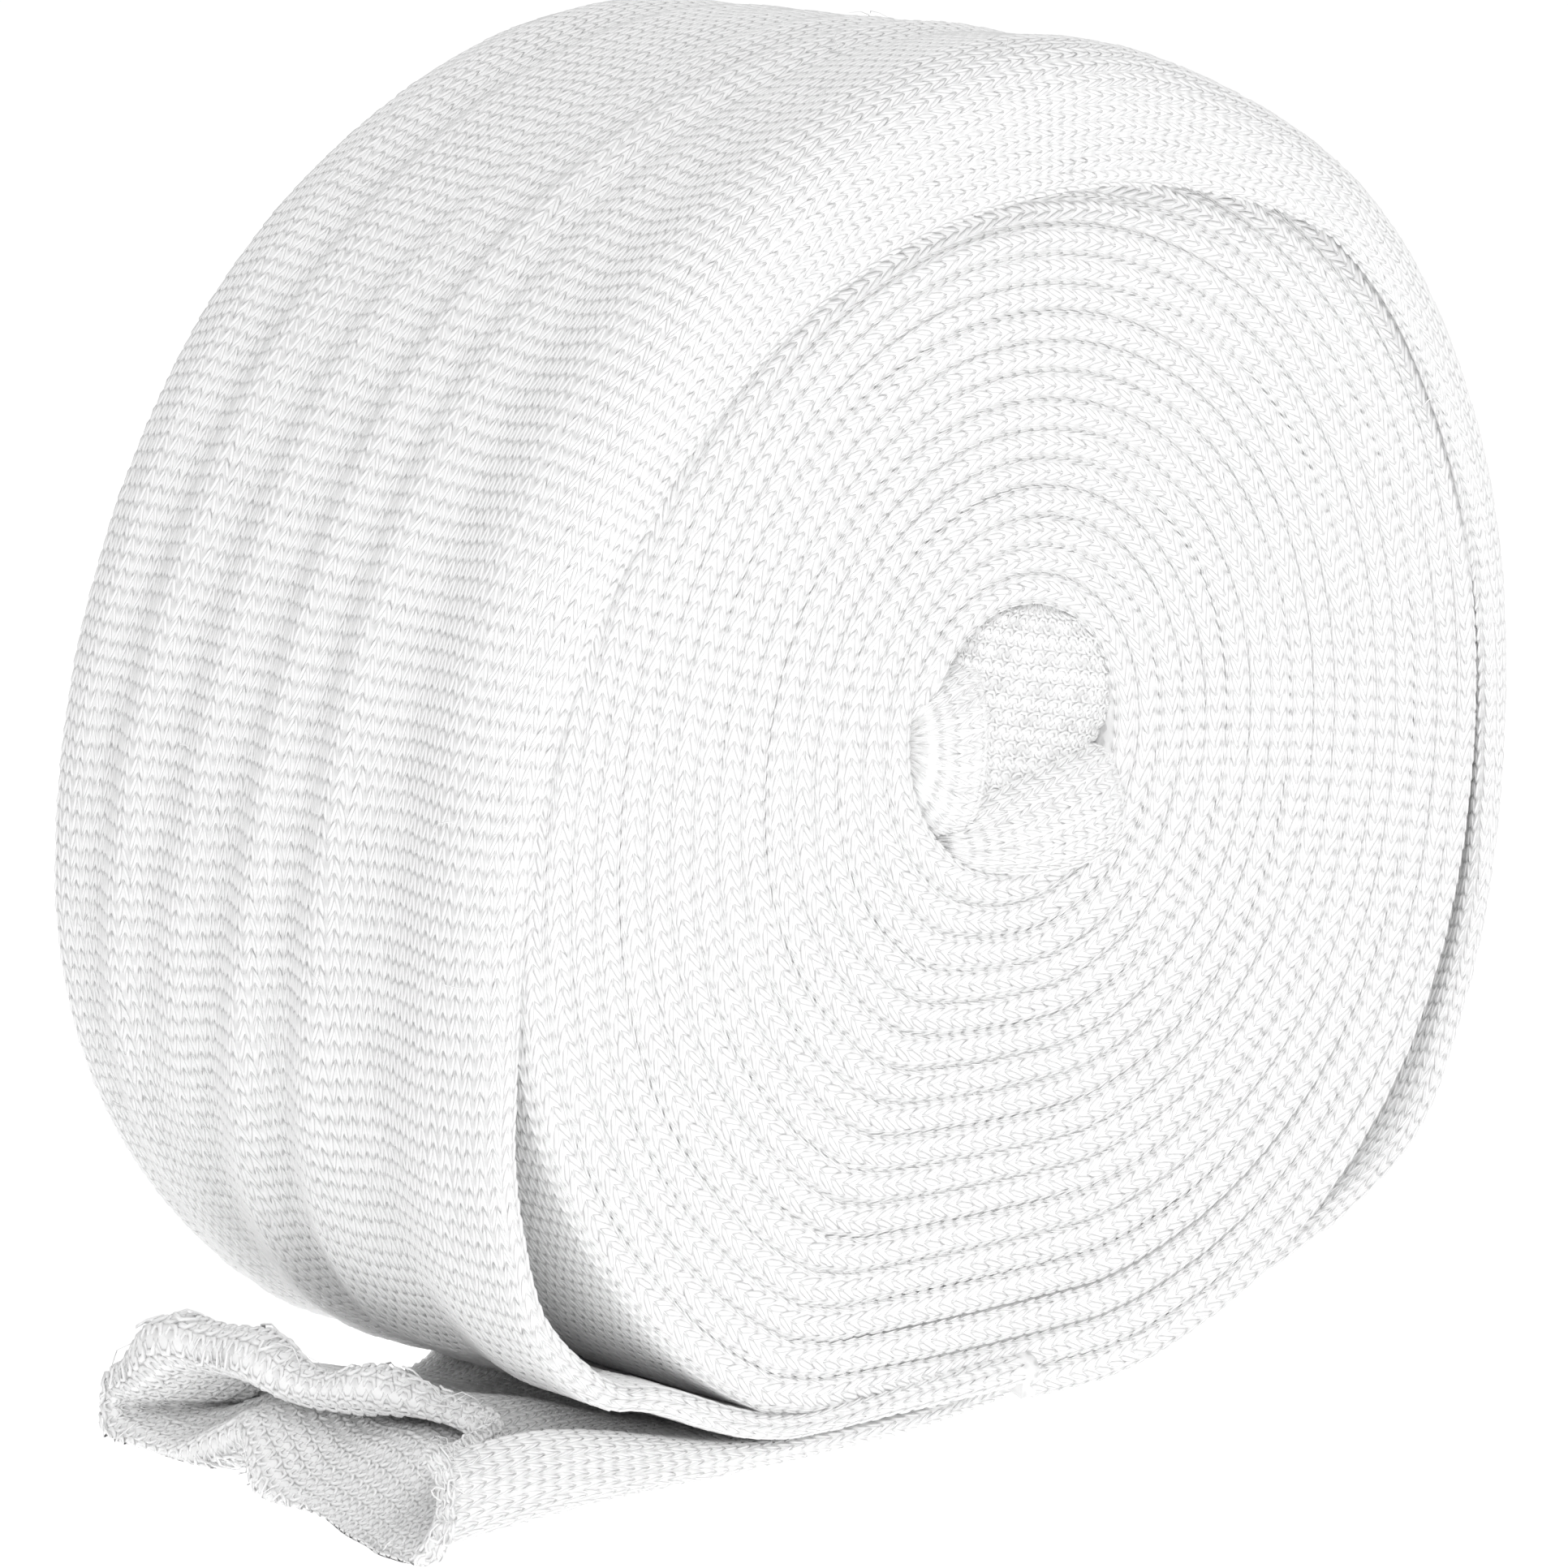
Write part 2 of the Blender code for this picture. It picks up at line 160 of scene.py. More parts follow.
@dataclass(frozen=True)
class Cotton:
    """Bleached cotton yarn: matt, near white, with a faint fuzz and a faintly uneven tone."""

    name: str = "bleached_cotton_yarn"
    colour: tuple[float, float, float] = (0.965, 0.965, 0.965)
    shade: tuple[float, float, float] = (0.94, 0.94, 0.94)
    roughness: float = 0.9
    sheen: float = 0.15
    gloss: float = 0.25            # the specular level
    tone_scale: float = 140.0      # of the uneven tone, per metre
    tone_detail: float = 3.0
    ply_scale: float = 2600.0      # of the yarn's fine hairy relief, per metre
    ply_detail: float = 2.0
    ply_depth: float = 0.00004
    ply_strength: float = 0.6

    def material(self) -> bpy.types.Material:
        """Makes the material.

        Returns:
            A material whose colour and relief read Object coordinates.
        """
        made = bpy.data.materials.new(self.name)
        made.use_nodes = True
        tree = made.node_tree
        place = add_node(tree, "ShaderNodeTexCoord").outputs["Object"]
        patches = add_node(tree, "ShaderNodeTexNoise", {
            "Vector": place, "Scale": self.tone_scale, "Detail": self.tone_detail,
        })
        tones = add_node(tree, "ShaderNodeMix", {
            "Factor": patches.outputs["Fac"], "A": (*self.shade, 1.0), "B": (*self.colour, 1.0),
        }, data_type="RGBA")
        hair = add_node(tree, "ShaderNodeTexNoise", {
            "Vector": place, "Scale": self.ply_scale, "Detail": self.ply_detail,
        })
        relief = add_node(tree, "ShaderNodeBump", {
            "Height": hair.outputs["Fac"], "Distance": self.ply_depth, "Strength": self.ply_strength,
        })
        feed(tree.nodes[SHADER], {
            "Base Color": tones.outputs["Result"],
            "Normal": relief.outputs["Normal"],
            "Roughness": self.roughness,
            "Sheen Weight": self.sheen,
            "Specular IOR Level": self.gloss,
        })
        return made


@dataclass(frozen=True)
class Ground:
    """The knit seen between the yarns in front of it: the same cotton in small pits and rows, with painted
    shade: a little darker than the yarn, and darker still in the pits.
    """

    name: str
    wales: float                   # across the whole UV map
    courses: float                 # along it
    # Painted shade: the ground's colour sits a little below the yarn's, for the shaded cloth under the
    # yarns, and the pits are darker still, painted shade in the holes between the stitches.
    colour: tuple[float, float, float] = (0.95, 0.95, 0.95)
    painted_pit_shade: tuple[float, float, float] = (0.80, 0.80, 0.80)
    roughness: float = 0.95
    gloss: float = 0.2
    pit_place: tuple[float, float, float] = (0.5, 0.4, 0.0)     # in a cell, between two wales
    pit_levels: tuple[float, float] = (-1.9, -0.2)              # of the two waves' sum, floor to rim
    depth: float = 0.0001

    def material(self) -> bpy.types.Material:
        """Makes the material, whose rows follow the piece's own UV map.

        Returns:
            A material with one pit to each stitch.
        """
        made = bpy.data.materials.new(self.name)
        made.use_nodes = True
        tree = made.node_tree
        place = add_node(tree, "ShaderNodeUVMap", uv_map=KnitSurface.UV_NAME).outputs["UV"]
        cells = add_node(tree, "ShaderNodeMapping", {
            "Vector": place, "Scale": (self.wales, self.courses, 1.0), "Location": self.pit_place,
        })
        split = add_node(tree, "ShaderNodeSeparateXYZ", {"Vector": cells.outputs["Vector"]}).outputs
        waves = []
        for axis in ("X", "Y"):
            turn = add_node(tree, "ShaderNodeMath", {0: split[axis], 1: 2 * math.pi}, operation="MULTIPLY")
            wave = add_node(tree, "ShaderNodeMath", {0: turn.outputs[0]}, operation="COSINE")
            waves.append(wave.outputs[0])
        both = add_node(tree, "ShaderNodeMath", dict(enumerate(waves)), operation="ADD")
        floor, rim = self.pit_levels
        level = add_node(tree, "ShaderNodeMapRange", {
            "Value": both.outputs[0], "From Min": floor, "From Max": rim,
        }).outputs["Result"]
        # The pits' darker colour is painted shade. It is laid by the same pit height that drives the
        # relief.
        tones = add_node(tree, "ShaderNodeMix", {
            "Factor": level, "A": (*self.painted_pit_shade, 1.0), "B": (*self.colour, 1.0),
        }, data_type="RGBA")
        relief = add_node(tree, "ShaderNodeBump", {"Height": level, "Distance": self.depth})
        feed(tree.nodes[SHADER], {
            "Base Color": tones.outputs["Result"],
            "Normal": relief.outputs["Normal"],
            "Roughness": self.roughness,
            "Specular IOR Level": self.gloss,
        })
        return made


@dataclass(frozen=True)
class Leaf:
    """One stroke of yarn in a stitch's cell: x across the wale, y along it, z off the cloth."""

    line: Table                      # x, y in cells, z in metres
    half_widths: tuple[float, ...]   # in wales, one for each inner point of the line
    half_height: float = 0.00012

    def mirrored(self) -> "Leaf":
        """The same stroke on the wale's other side."""
        return replace(self, line=tuple((-x, y, z) for x, y, z in self.line))

    def add_to(self, points: list, faces: list) -> None:
        """Adds the stroke's closed skin.

        Args:
            points: the stitch's points, which grow.
            faces: the stitch's faces, which grow.
        """
        line = np.array(self.line, float)
        start = len(points)
        points.append(tuple(line[0]))
        for k in range(1, len(line) - 1):
            run = line[k + 1] - line[k - 1]
            across = np.array([run[1], -run[0]]) / math.hypot(run[0], run[1])
            x, y, z = line[k]
            half = self.half_widths[k - 1]
            points.append((x + across[0] * half, y + across[1] * half, z - self.half_height))
            points.append((x, y, z + self.half_height))
            points.append((x - across[0] * half, y - across[1] * half, z - self.half_height))
        points.append(tuple(line[-1]))
        last = len(points) - 1
        rings = [start + 1 + 3 * k for k in range(len(line) - 2)]
        for i in range(3):
            j = (i + 1) % 3
            faces.append((start, rings[0] + j, rings[0] + i))
            faces.append((last, rings[-1] + i, rings[-1] + j))
            for a, b in zip(rings, rings[1:]):
                faces.append((a + i, a + j, b + j, b + i))


@dataclass(frozen=True)
class Stitch:
    """The yarn of one stitch, drawn in its cell."""

    kind: StitchKind
    leg: Leaf = Leaf(
        (
            (0.02, -0.42, 0.0),
            (0.13, 0.02, 0.00012),
            (0.31, 0.62, 0.00014),
            (0.42, 1.12, 0.0),
        ),
        (0.130, 0.125),
    )
    plain_leg: Leaf = Leaf(
        (
            (0.02, -0.42, 0.0),
            (0.20, 0.32, 0.00015),
            (0.42, 1.12, 0.0),
        ),
        (0.15,),
    )
    free_loop: Leaf = Leaf(
        (
            (-0.22, -0.1, 0.0),
            (-0.42, 0.25, 0.0005),
            (-0.34, 0.75, 0.0009),
            (0.0, 1.0, 0.0011),
            (0.36, 0.7, 0.0009),
            (0.40, 0.2, 0.0005),
            (0.2, -0.1, 0.0),
        ),
        (0.09, 0.09, 0.09, 0.09, 0.09),
        0.00010,
    )
    fibre: Leaf = Leaf(
        (
            (0.0, 0.0, 0.0),
            (0.2, 0.9, 0.0008),
            (0.7, 1.7, 0.0013),
            (1.5, 2.1, 0.0013),
            (2.3, 1.9, 0.0009),
        ),
        (0.035, 0.035, 0.035),
        0.00003,
    )
    arc: Table = (
        # degrees round the arc, height off the cloth
        (-35, -0.00004),
        (5, 0.00014),
        (60, 0.00026),
        (120, 0.00026),
        (175, 0.00014),
        (215, -0.00004),
    )
    head: tuple[float, ...] = (0.0, 0.52, 0.42, 0.32)      # centre x, y and reach along x, y
    foot: tuple[float, ...] = (0.5, 0.24, 0.33, -0.30)
    purl_half_width: float = 0.13
    purl_half_height: float = 0.00014

    def _arc_leaf(self, place: tuple[float, ...]) -> Leaf:
        """A purl loop's round stroke, from its centre and its reach."""
        x, y, across, along = place
        turns = [(math.radians(degrees), height) for degrees, height in self.arc]
        line = tuple((x + across * math.cos(a), y + along * math.sin(a), z) for a, z in turns)
        return Leaf(line, (self.purl_half_width,) * (len(line) - 2), self.purl_half_height)

    def leaves(self) -> list[Leaf]:
        """The strokes of yarn that show on this side of the knit."""
        if self.kind is StitchKind.PURL:
            return [self._arc_leaf(self.head), self._arc_leaf(self.foot)]
        if self.kind is StitchKind.LOOP:
            return [self.free_loop]
        if self.kind is StitchKind.FIBRE:
            return [self.fibre]
        leg = self.plain_leg if self.kind is StitchKind.PLAIN else self.leg
        return [leg, leg.mirrored()]

    def mesh_object(self) -> bpy.types.Object:
        """Makes the stitch as an object for the tree to copy.

        Returns:
            An object that isn't linked to the scene.
        """
        points: list = []
        faces: list = []
        for leaf in self.leaves():
            leaf.add_to(points, faces)
        mesh = bpy.data.meshes.new(f"{self.kind.value}_stitch")
        mesh.from_pydata(points, [], faces)
        mesh.shade_smooth()
        mesh.update()
        return bpy.data.objects.new(mesh.name, mesh)


@dataclass
class KnitSurface:
    """A cloth drawn as a grid: rows run along the tube, columns go round or across it."""

    UV_NAME = "knit"
    OUTWARD = "outward"
    OFF_MAP = (2.0, 2.0)        # where the end caps' corners lie, clear of the knit's own map

    name: str
    grid: np.ndarray            # rows, columns, 3
    wale_at: np.ndarray         # the wale count at each column or point, and where it closes
    course_at: np.ndarray       # the course count at each row, and where it closes
    closed_rows: bool = False   # the last row joins the first

    def facing(self) -> int:
        """1 where the grid's faces point outwards as they are wound, and -1 where they point in."""
        return 1 if self._signed_volume() > 0 else -1

    def _signed_volume(self) -> float:
        """The volume that the grid's faces enclose, negative where they point inwards."""
        below = self.grid - self.grid.mean(axis=(0, 1))
        if not self.closed_rows:
            first, last = below[:1], below[-1:]
            below = np.concatenate([first * 0 + first.mean(axis=1, keepdims=True), below])
            below = np.concatenate([below, last * 0 + last.mean(axis=1, keepdims=True)])
        above = np.roll(below, -1, axis=0) if self.closed_rows else below[1:]
        below = below if self.closed_rows else below[:-1]
        right_below, right_above = np.roll(below, -1, axis=1), np.roll(above, -1, axis=1)
        first_half = np.sum(below * np.cross(right_below, right_above))
        return float(first_half + np.sum(below * np.cross(right_above, above))) / 6

    def normals(self) -> np.ndarray:
        """The grid's outward normals, one for each point."""
        across = np.roll(self.grid, -1, axis=1) - np.roll(self.grid, 1, axis=1)
        if self.closed_rows:
            along = np.roll(self.grid, -1, axis=0) - np.roll(self.grid, 1, axis=0)
        else:
            along = np.gradient(self.grid, axis=0)
        normal = np.cross(across, along)
        length = np.linalg.norm(normal, axis=2, keepdims=True)
        return self.facing() * normal / np.maximum(length, 1e-12)

    def wales(self) -> float:
        """How many wales the whole grid has."""
        return float(self.wale_at.flat[-1])

    def courses(self) -> float:
        """How many courses the whole grid has."""
        return float(self.course_at[-1])

    @staticmethod
    def _turned(uvs: list, faces: list) -> list:
        """The faces' UVs in the order that a flipped face reads its corners.

        Args:
            uvs: one pair for each corner, face after face.
            faces: the faces before they were flipped.

        Returns:
            The pairs, with each face's first corner kept and the rest in reverse.
        """
        turned = []
        at = 0
        for face in faces:
            corner_uvs = uvs[at:at + len(face)]
            turned += corner_uvs[:1] + corner_uvs[:0:-1]
            at += len(face)
        return turned

    def finish(self) -> bpy.types.Material:
        """A finish between the stitches that follows this cloth's own count of them."""
        return Ground(f"{self.name}_ground", self.wales(), self.courses()).material()

    def build(self, material: bpy.types.Material | None = None) -> bpy.types.Object:
        """Makes the closed cloth.

        Args:
            material: its finish, or None for one of its own.

        Returns:
            An object with the knit's UV map and its outward directions.
        """
        rows, columns, _ = self.grid.shape
        normal = self.normals()
        faces = []
        uvs = []
        u = np.broadcast_to(self.wale_at / self.wales(), (rows, columns + 1))
        v = self.course_at / self.courses()
        for r in range(rows if self.closed_rows else rows - 1):
            up = (r + 1) % rows
            below, above = r * columns, up * columns
            for c in range(columns):
                d = (c + 1) % columns
                faces.append((below + c, below + d, above + d, above + c))
                uvs += [
                    (u[r, c], v[r]),
                    (u[r, c + 1], v[r]),
                    (u[up, c + 1], v[r + 1]),
                    (u[up, c], v[r + 1]),
                ]
        if not self.closed_rows:
            faces.append(tuple(range(columns))[::-1])
            faces.append(tuple((rows - 1) * columns + c for c in range(columns)))
            uvs += [self.OFF_MAP] * (2 * columns)
        mesh = bpy.data.meshes.new(self.name)
        mesh.from_pydata(self.grid.reshape(-1, 3).tolist(), [], faces)
        if self.facing() < 0:
            mesh.flip_normals()
            uvs = self._turned(uvs, faces)
        layer = mesh.uv_layers.new(name=self.UV_NAME)
        layer.data.foreach_set("uv", np.array(uvs, np.float32).ravel())
        outward = mesh.attributes.new(self.OUTWARD, "FLOAT_VECTOR", "POINT")
        outward.data.foreach_set("vector", normal.reshape(-1, 3).astype(np.float32).ravel())
        mesh.shade_smooth()
        mesh.materials.append(material or self.finish())
        mesh.update()
        made = bpy.data.objects.new(self.name, mesh)
        bpy.context.scene.collection.objects.link(made)
        return made


@dataclass(frozen=True)
class Patch:
    """A stretch of a cloth that gets its own stitches."""

    name: str
    kind: StitchKind
    first_wale: int
    wales: int
    first_course: int
    courses: int
    unevenness: float = 0.22     # how far the rows wander, in cells
    lift: float = 1.0            # of the yarn off the cloth, as a share of the stitch's own
    seed: int = 1
    slant: float = 0.10          # how far a stitch may lean, in radians
    share: float = 1.0           # of the stitches that are there


class StitchTree:
    """The tree that lays stitches on a cloth, by the cloth's own count of wales and courses."""

    INPUTS = (
        ("Stitch", "NodeSocketObject"),
        ("First wale", "NodeSocketFloat"),
        ("Wales", "NodeSocketInt"),
        ("First course", "NodeSocketFloat"),
        ("Courses", "NodeSocketInt"),
        ("Wales in all", "NodeSocketFloat"),
        ("Courses in all", "NodeSocketFloat"),
        ("Unevenness", "NodeSocketFloat"),
        ("Lift", "NodeSocketFloat"),
        ("Slant", "NodeSocketFloat"),
        ("Share kept", "NodeSocketFloat"),
        ("Seed", "NodeSocketInt"),
        ("Yarn", "NodeSocketMaterial"),
    )
    SMALLEST = (0.92, 0.96, 0.8)     # a stitch's scale across, along and off the cloth
    LARGEST = (1.06, 1.08, 1.15)
    KEPT_SEED = 3.0                  # added to a patch's own seed, for which stitches are there
    SIZE_SEED = 7.0                  # and for their scale
    WANDER_SCALE = 0.11              # of the rows' wandering, per cell
    WANDER_DETAIL = 3.0
    WANDER_GAIN = 4.0
    EDGE = 0.0002                    # the share of the cloth kept clear along its edges

    def __init__(self) -> None:
        """Builds the tree once."""
        self.tree = bpy.data.node_groups.new("lay_stitches", "GeometryNodeTree")
        socket = self.tree.interface.new_socket
        socket("Geometry", in_out="INPUT", socket_type="NodeSocketGeometry")
        self.identifiers = {
            name: socket(name, in_out="INPUT", socket_type=kind).identifier for name, kind in self.INPUTS
        }
        socket("Geometry", in_out="OUTPUT", socket_type="NodeSocketGeometry")
        self._fill()

    def _node(self, kind: str, sources: dict | None = None, **settings: object) -> bpy.types.Node:
        """Adds a node to this tree."""
        return add_node(self.tree, kind, sources, **settings)

    def _math(self, operation: str, *values: object) -> bpy.types.NodeSocket:
        """Adds a number node and returns what it gives."""
        return self._node("ShaderNodeMath", dict(enumerate(values)), operation=operation).outputs[0]

    def _vector(self, operation: str, *values: object) -> bpy.types.NodeSocket:
        """Adds a vector node and returns what it gives."""
        return self._node("ShaderNodeVectorMath", dict(enumerate(values)), operation=operation).outputs[0]

    def _scaled(self, vector: bpy.types.NodeSocket, by: bpy.types.NodeSocket) -> bpy.types.NodeSocket:
        """Multiplies a vector by a number."""
        sources = {0: vector, "Scale": by}
        return self._node("ShaderNodeVectorMath", sources, operation="SCALE").outputs[0]

    def _split(self, vector: bpy.types.NodeSocket) -> bpy.types.bpy_prop_collection:
        """Gives a vector's X, Y and Z."""
        return self._node("ShaderNodeSeparateXYZ", {0: vector}).outputs

    def _joined(self, *values: object) -> bpy.types.NodeSocket:
        """Joins numbers to a vector."""
        return self._node("ShaderNodeCombineXYZ", dict(enumerate(values))).outputs[0]

    def _random(self, kind: str, sources: dict) -> bpy.types.NodeSocket:
        """Adds a random value for each stitch and returns it."""
        node = self._node("FunctionNodeRandomValue", sources, data_type=kind)
        return next(out for out in node.outputs if out.enabled)

    def _cloth_value(self, name: str) -> bpy.types.NodeSocket:
        """Reads one of the cloth's own attributes."""
        sources = {"Name": name}
        return self._node("GeometryNodeInputNamedAttribute", sources, data_type="FLOAT_VECTOR").outputs[0]

    def _fill(self) -> None:
        """Adds the nodes: a flat net of stitches, made uneven, then laid on the cloth."""
        given = self.tree.nodes.new("NodeGroupInput").outputs
        net = self._flat_net(given)
        here = self._node("GeometryNodeInputPosition").outputs[0]
        laid = self._node("GeometryNodeSetPosition", {
            "Geometry": net, "Position": self._on_cloth(given, here),
        })
        dressed = self._node("GeometryNodeSetMaterial", {
            "Geometry": laid.outputs["Geometry"], "Material": given["Yarn"],
        })
        self._node("NodeGroupOutput", {0: dressed.outputs["Geometry"]})

    def _flat_net(self, given: bpy.types.bpy_prop_collection) -> bpy.types.NodeSocket:
        """Lays the stitches flat, each in its cell.

        Args:
            given: the tree's inputs.

        Returns:
            The stitches' own faces, in cells.
        """
        size_x = self._math("SUBTRACT", given["Wales"], 1.0)
        size_y = self._math("SUBTRACT", given["Courses"], 1.0)
        net = self._node("GeometryNodeMeshGrid", {
            "Size X": size_x, "Size Y": size_y,
            "Vertices X": given["Wales"], "Vertices Y": given["Courses"],
        })
        first_middle = self._math("ADD", given["First wale"], 0.5)
        corner = self._joined(
            self._math("ADD", self._math("MULTIPLY", size_x, 0.5), first_middle),
            self._math("ADD", self._math("MULTIPLY", size_y, 0.5), given["First course"]),
        )
        cells = self._node("GeometryNodeSetPosition", {"Geometry": net.outputs["Mesh"], "Offset": corner})
        lean = self._random("FLOAT_VECTOR", {
            "Min": (0.0, 0.0, -1.0), "Max": (0.0, 0.0, 1.0), "Seed": given["Seed"],
        })
        turn = self._node("FunctionNodeEulerToRotation", {"Euler": self._scaled(lean, given["Slant"])})
        kept = self._random("BOOLEAN", {
            "Probability": given["Share kept"],
            "Seed": self._math("ADD", given["Seed"], self.KEPT_SEED),
        })
        size = self._random("FLOAT_VECTOR", {
            "Min": self.SMALLEST, "Max": self.LARGEST,
            "Seed": self._math("ADD", given["Seed"], self.SIZE_SEED),
        })
        stitch = self._node("GeometryNodeObjectInfo", {"Object": given["Stitch"], "As Instance": True})
        copies = self._node("GeometryNodeInstanceOnPoints", {
            "Points": cells.outputs["Geometry"], "Instance": stitch.outputs["Geometry"],
            "Selection": kept, "Rotation": turn.outputs[0], "Scale": size,
        })
        real = self._node("GeometryNodeRealizeInstances", {"Geometry": copies.outputs["Instances"]})
        return real.outputs["Geometry"]

    def _on_cloth(
        self, given: bpy.types.bpy_prop_collection, here: bpy.types.NodeSocket
    ) -> bpy.types.NodeSocket:
        """Finds where a point of the flat net lies on the cloth.

        Args:
            given: the tree's inputs.
            here: the point's place in the net, in cells.

        Returns:
            Its place on the cloth, never under the floor.
        """
        wander = self._node("ShaderNodeTexNoise", {
            "Vector": self._vector("MULTIPLY", here, (self.WANDER_SCALE, self.WANDER_SCALE, 0.0)),
            "Scale": 1.0, "Detail": self.WANDER_DETAIL,
        })
        shift = self._vector("SUBTRACT", wander.outputs["Color"], (0.5, 0.5, 0.5))
        gain = self._scaled(shift, self._math("MULTIPLY", given["Unevenness"], self.WANDER_GAIN))
        cell = self._split(self._vector("ADD", here, gain))
        place = self._joined(
            self._clamped(self._math("DIVIDE", cell[0], given["Wales in all"])),
            self._clamped(self._math("DIVIDE", cell[1], given["Courses in all"])),
        )
        base = self._sampled(given["Geometry"], here, place)
        normal = self._sampled(given["Geometry"], self._cloth_value(KnitSurface.OUTWARD), place)
        height = self._math("MULTIPLY", self._split(here)[2], given["Lift"])
        x, y, z = self._split(self._vector("ADD", base, self._scaled(normal, height)))
        return self._joined(x, y, self._math("MAXIMUM", z, 0.0))

    def _clamped(self, value: bpy.types.NodeSocket) -> bpy.types.NodeSocket:
        """Holds a share just inside the cloth's edges."""
        return self._math("MINIMUM", self._math("MAXIMUM", value, self.EDGE), 1 - self.EDGE)

    def _sampled(
        self, cloth: bpy.types.NodeSocket, value: bpy.types.NodeSocket, place: bpy.types.NodeSocket
    ) -> bpy.types.NodeSocket:
        """Reads a value of the cloth at a place of its UV map."""
        return self._node("GeometryNodeSampleUVSurface", {
            "Mesh": cloth, "Value": value,
            "UV Map": self._cloth_value(KnitSurface.UV_NAME), "Sample UV": place,
        }, data_type="FLOAT_VECTOR").outputs["Value"]

    def lay(
        self, cloth: bpy.types.Object, surface: KnitSurface, patch: Patch, yarn: bpy.types.Material
    ) -> bpy.types.Object:
        """Lays one patch of stitches on a cloth.

        Args:
            cloth: the cloth's object.
            surface: the grid that it was made from.
            patch: which stitches, and where.
            yarn: their finish.

        Returns:
            A plain mesh object that rides with the cloth's body.
        """
        stitch = Stitch(patch.kind).mesh_object()
        carrier = bpy.data.objects.new(patch.name + "_carrier", cloth.data)
        bpy.context.scene.collection.objects.link(carrier)
        modifier = carrier.modifiers.new("stitches", "NODES")
        modifier.node_group = self.tree
        values = {
            "Stitch": stitch,
            "First wale": float(patch.first_wale),
            "Wales": patch.wales,
            "First course": float(patch.first_course),
            "Courses": patch.courses,
            "Wales in all": surface.wales(),
            "Courses in all": surface.courses(),
            "Unevenness": patch.unevenness,
            "Lift": patch.lift,
            "Slant": patch.slant,
            "Share kept": patch.share,
            "Seed": patch.seed,
            "Yarn": yarn,
        }
        for name, value in values.items():
            modifier[self.identifiers[name]] = value
        bpy.context.view_layer.update()
        graph = bpy.context.evaluated_depsgraph_get()
        mesh = bpy.data.meshes.new_from_object(carrier.evaluated_get(graph))
        mesh.name = patch.name
        carrier.modifiers.remove(modifier)
        bpy.data.objects.remove(carrier)
        bpy.data.objects.remove(stitch)
        for name in (KnitSurface.UV_NAME, KnitSurface.OUTWARD):
            if name in mesh.attributes:
                mesh.attributes.remove(mesh.attributes[name])
        if surface.facing() < 0:
            mesh.flip_normals()
        made = bpy.data.objects.new(patch.name, mesh)
        bpy.context.scene.collection.objects.link(made)
        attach(made, "root")
        LOG.info("%s: %d stitches, %d faces", patch.name, patch.wales * patch.courses, len(mesh.polygons))
        return made


@dataclass(frozen=True)
class RollPath:
    """The line that the tube follows round the roll."""

    radius: float = 0.062
    turns: int = 17
    core_radius: float = 0.0135
    base: float = 0.0022             # the layers of tube under the tight turns
    core_shift: tuple[float, float] = (-0.0010, 0.0015)
    outline: Table = (
        # angle, share of the radius
        (-90, 1.030),
        (-75, 1.022),
        (-60, 1.036),
        (-35, 1.045),
        (-5, 1.010),
        (30, 1.005),
        (65, 0.995),
        (90, 0.990),
        (120, 0.985),
        (154, 1.000),
        (180, 1.035),
        (205, 1.110),
        (222, 1.130),
        (241, 1.130),
        (256, 1.080),
    )

    @property
    def centre_height(self) -> float:
        """The height of the roll's centre."""
        return self.base + self.radius

    def flattened(self, radius: np.ndarray, angle: np.ndarray, floor: np.ndarray | float) -> np.ndarray:
        """Cuts a radius short where it would reach below a floor.

        Args:
            radius: the radius at each angle.
            angle: the angles in degrees.
            floor: the floor's height.

        Returns:
            The radius, cut short.
        """
        down = -np.sin(np.radians(angle))
        limit = (self.centre_height - floor) / np.maximum(down, 1e-6)
        return np.where(down > 1e-6, np.minimum(radius, limit), radius)

    def outline_radius(self, angle: np.ndarray) -> np.ndarray:
        """The radius of the roll's outline at each angle."""
        first = self.outline[0][0]
        table = (
            tuple((a - 360, r) for a, r in self.outline[-2:])
            + self.outline
            + tuple((a + 360, r) for a, r in self.outline[:2])
        )
        share = smooth_column(table, 1, first + (np.asarray(angle, float) - first) % 360)
        return self.flattened(self.radius * share, angle, self.base)

    def wound(self, turned: np.ndarray, outwards: float = 0.0) -> np.ndarray:
        """X and Z of the tight spiral's outer side.

        Args:
            turned: the degrees turned since its start.
            outwards: how far to move the points along their radius.

        Returns:
            One row of X and Z for each place.
        """
        turned = np.asarray(turned, float)
        angle = turned - 90
        share = 1 - turned / (360 * self.turns)
        radius = (1 - share) * self.core_radius + share * self.outline_radius(angle) + outwards
        x = (1 - share) * self.core_shift[0] + radius * np.cos(np.radians(angle))
        z = (1 - share) * self.core_shift[1] + radius * np.sin(np.radians(angle))
        return np.stack([x, self.centre_height + z], axis=-1)

    def winding_radius(self, turned: np.ndarray) -> np.ndarray:
        """The radius of the spiral's outer side about the roll's centre."""
        at = self.wound(turned)
        return np.hypot(at[..., 0], at[..., 1] - self.centre_height)


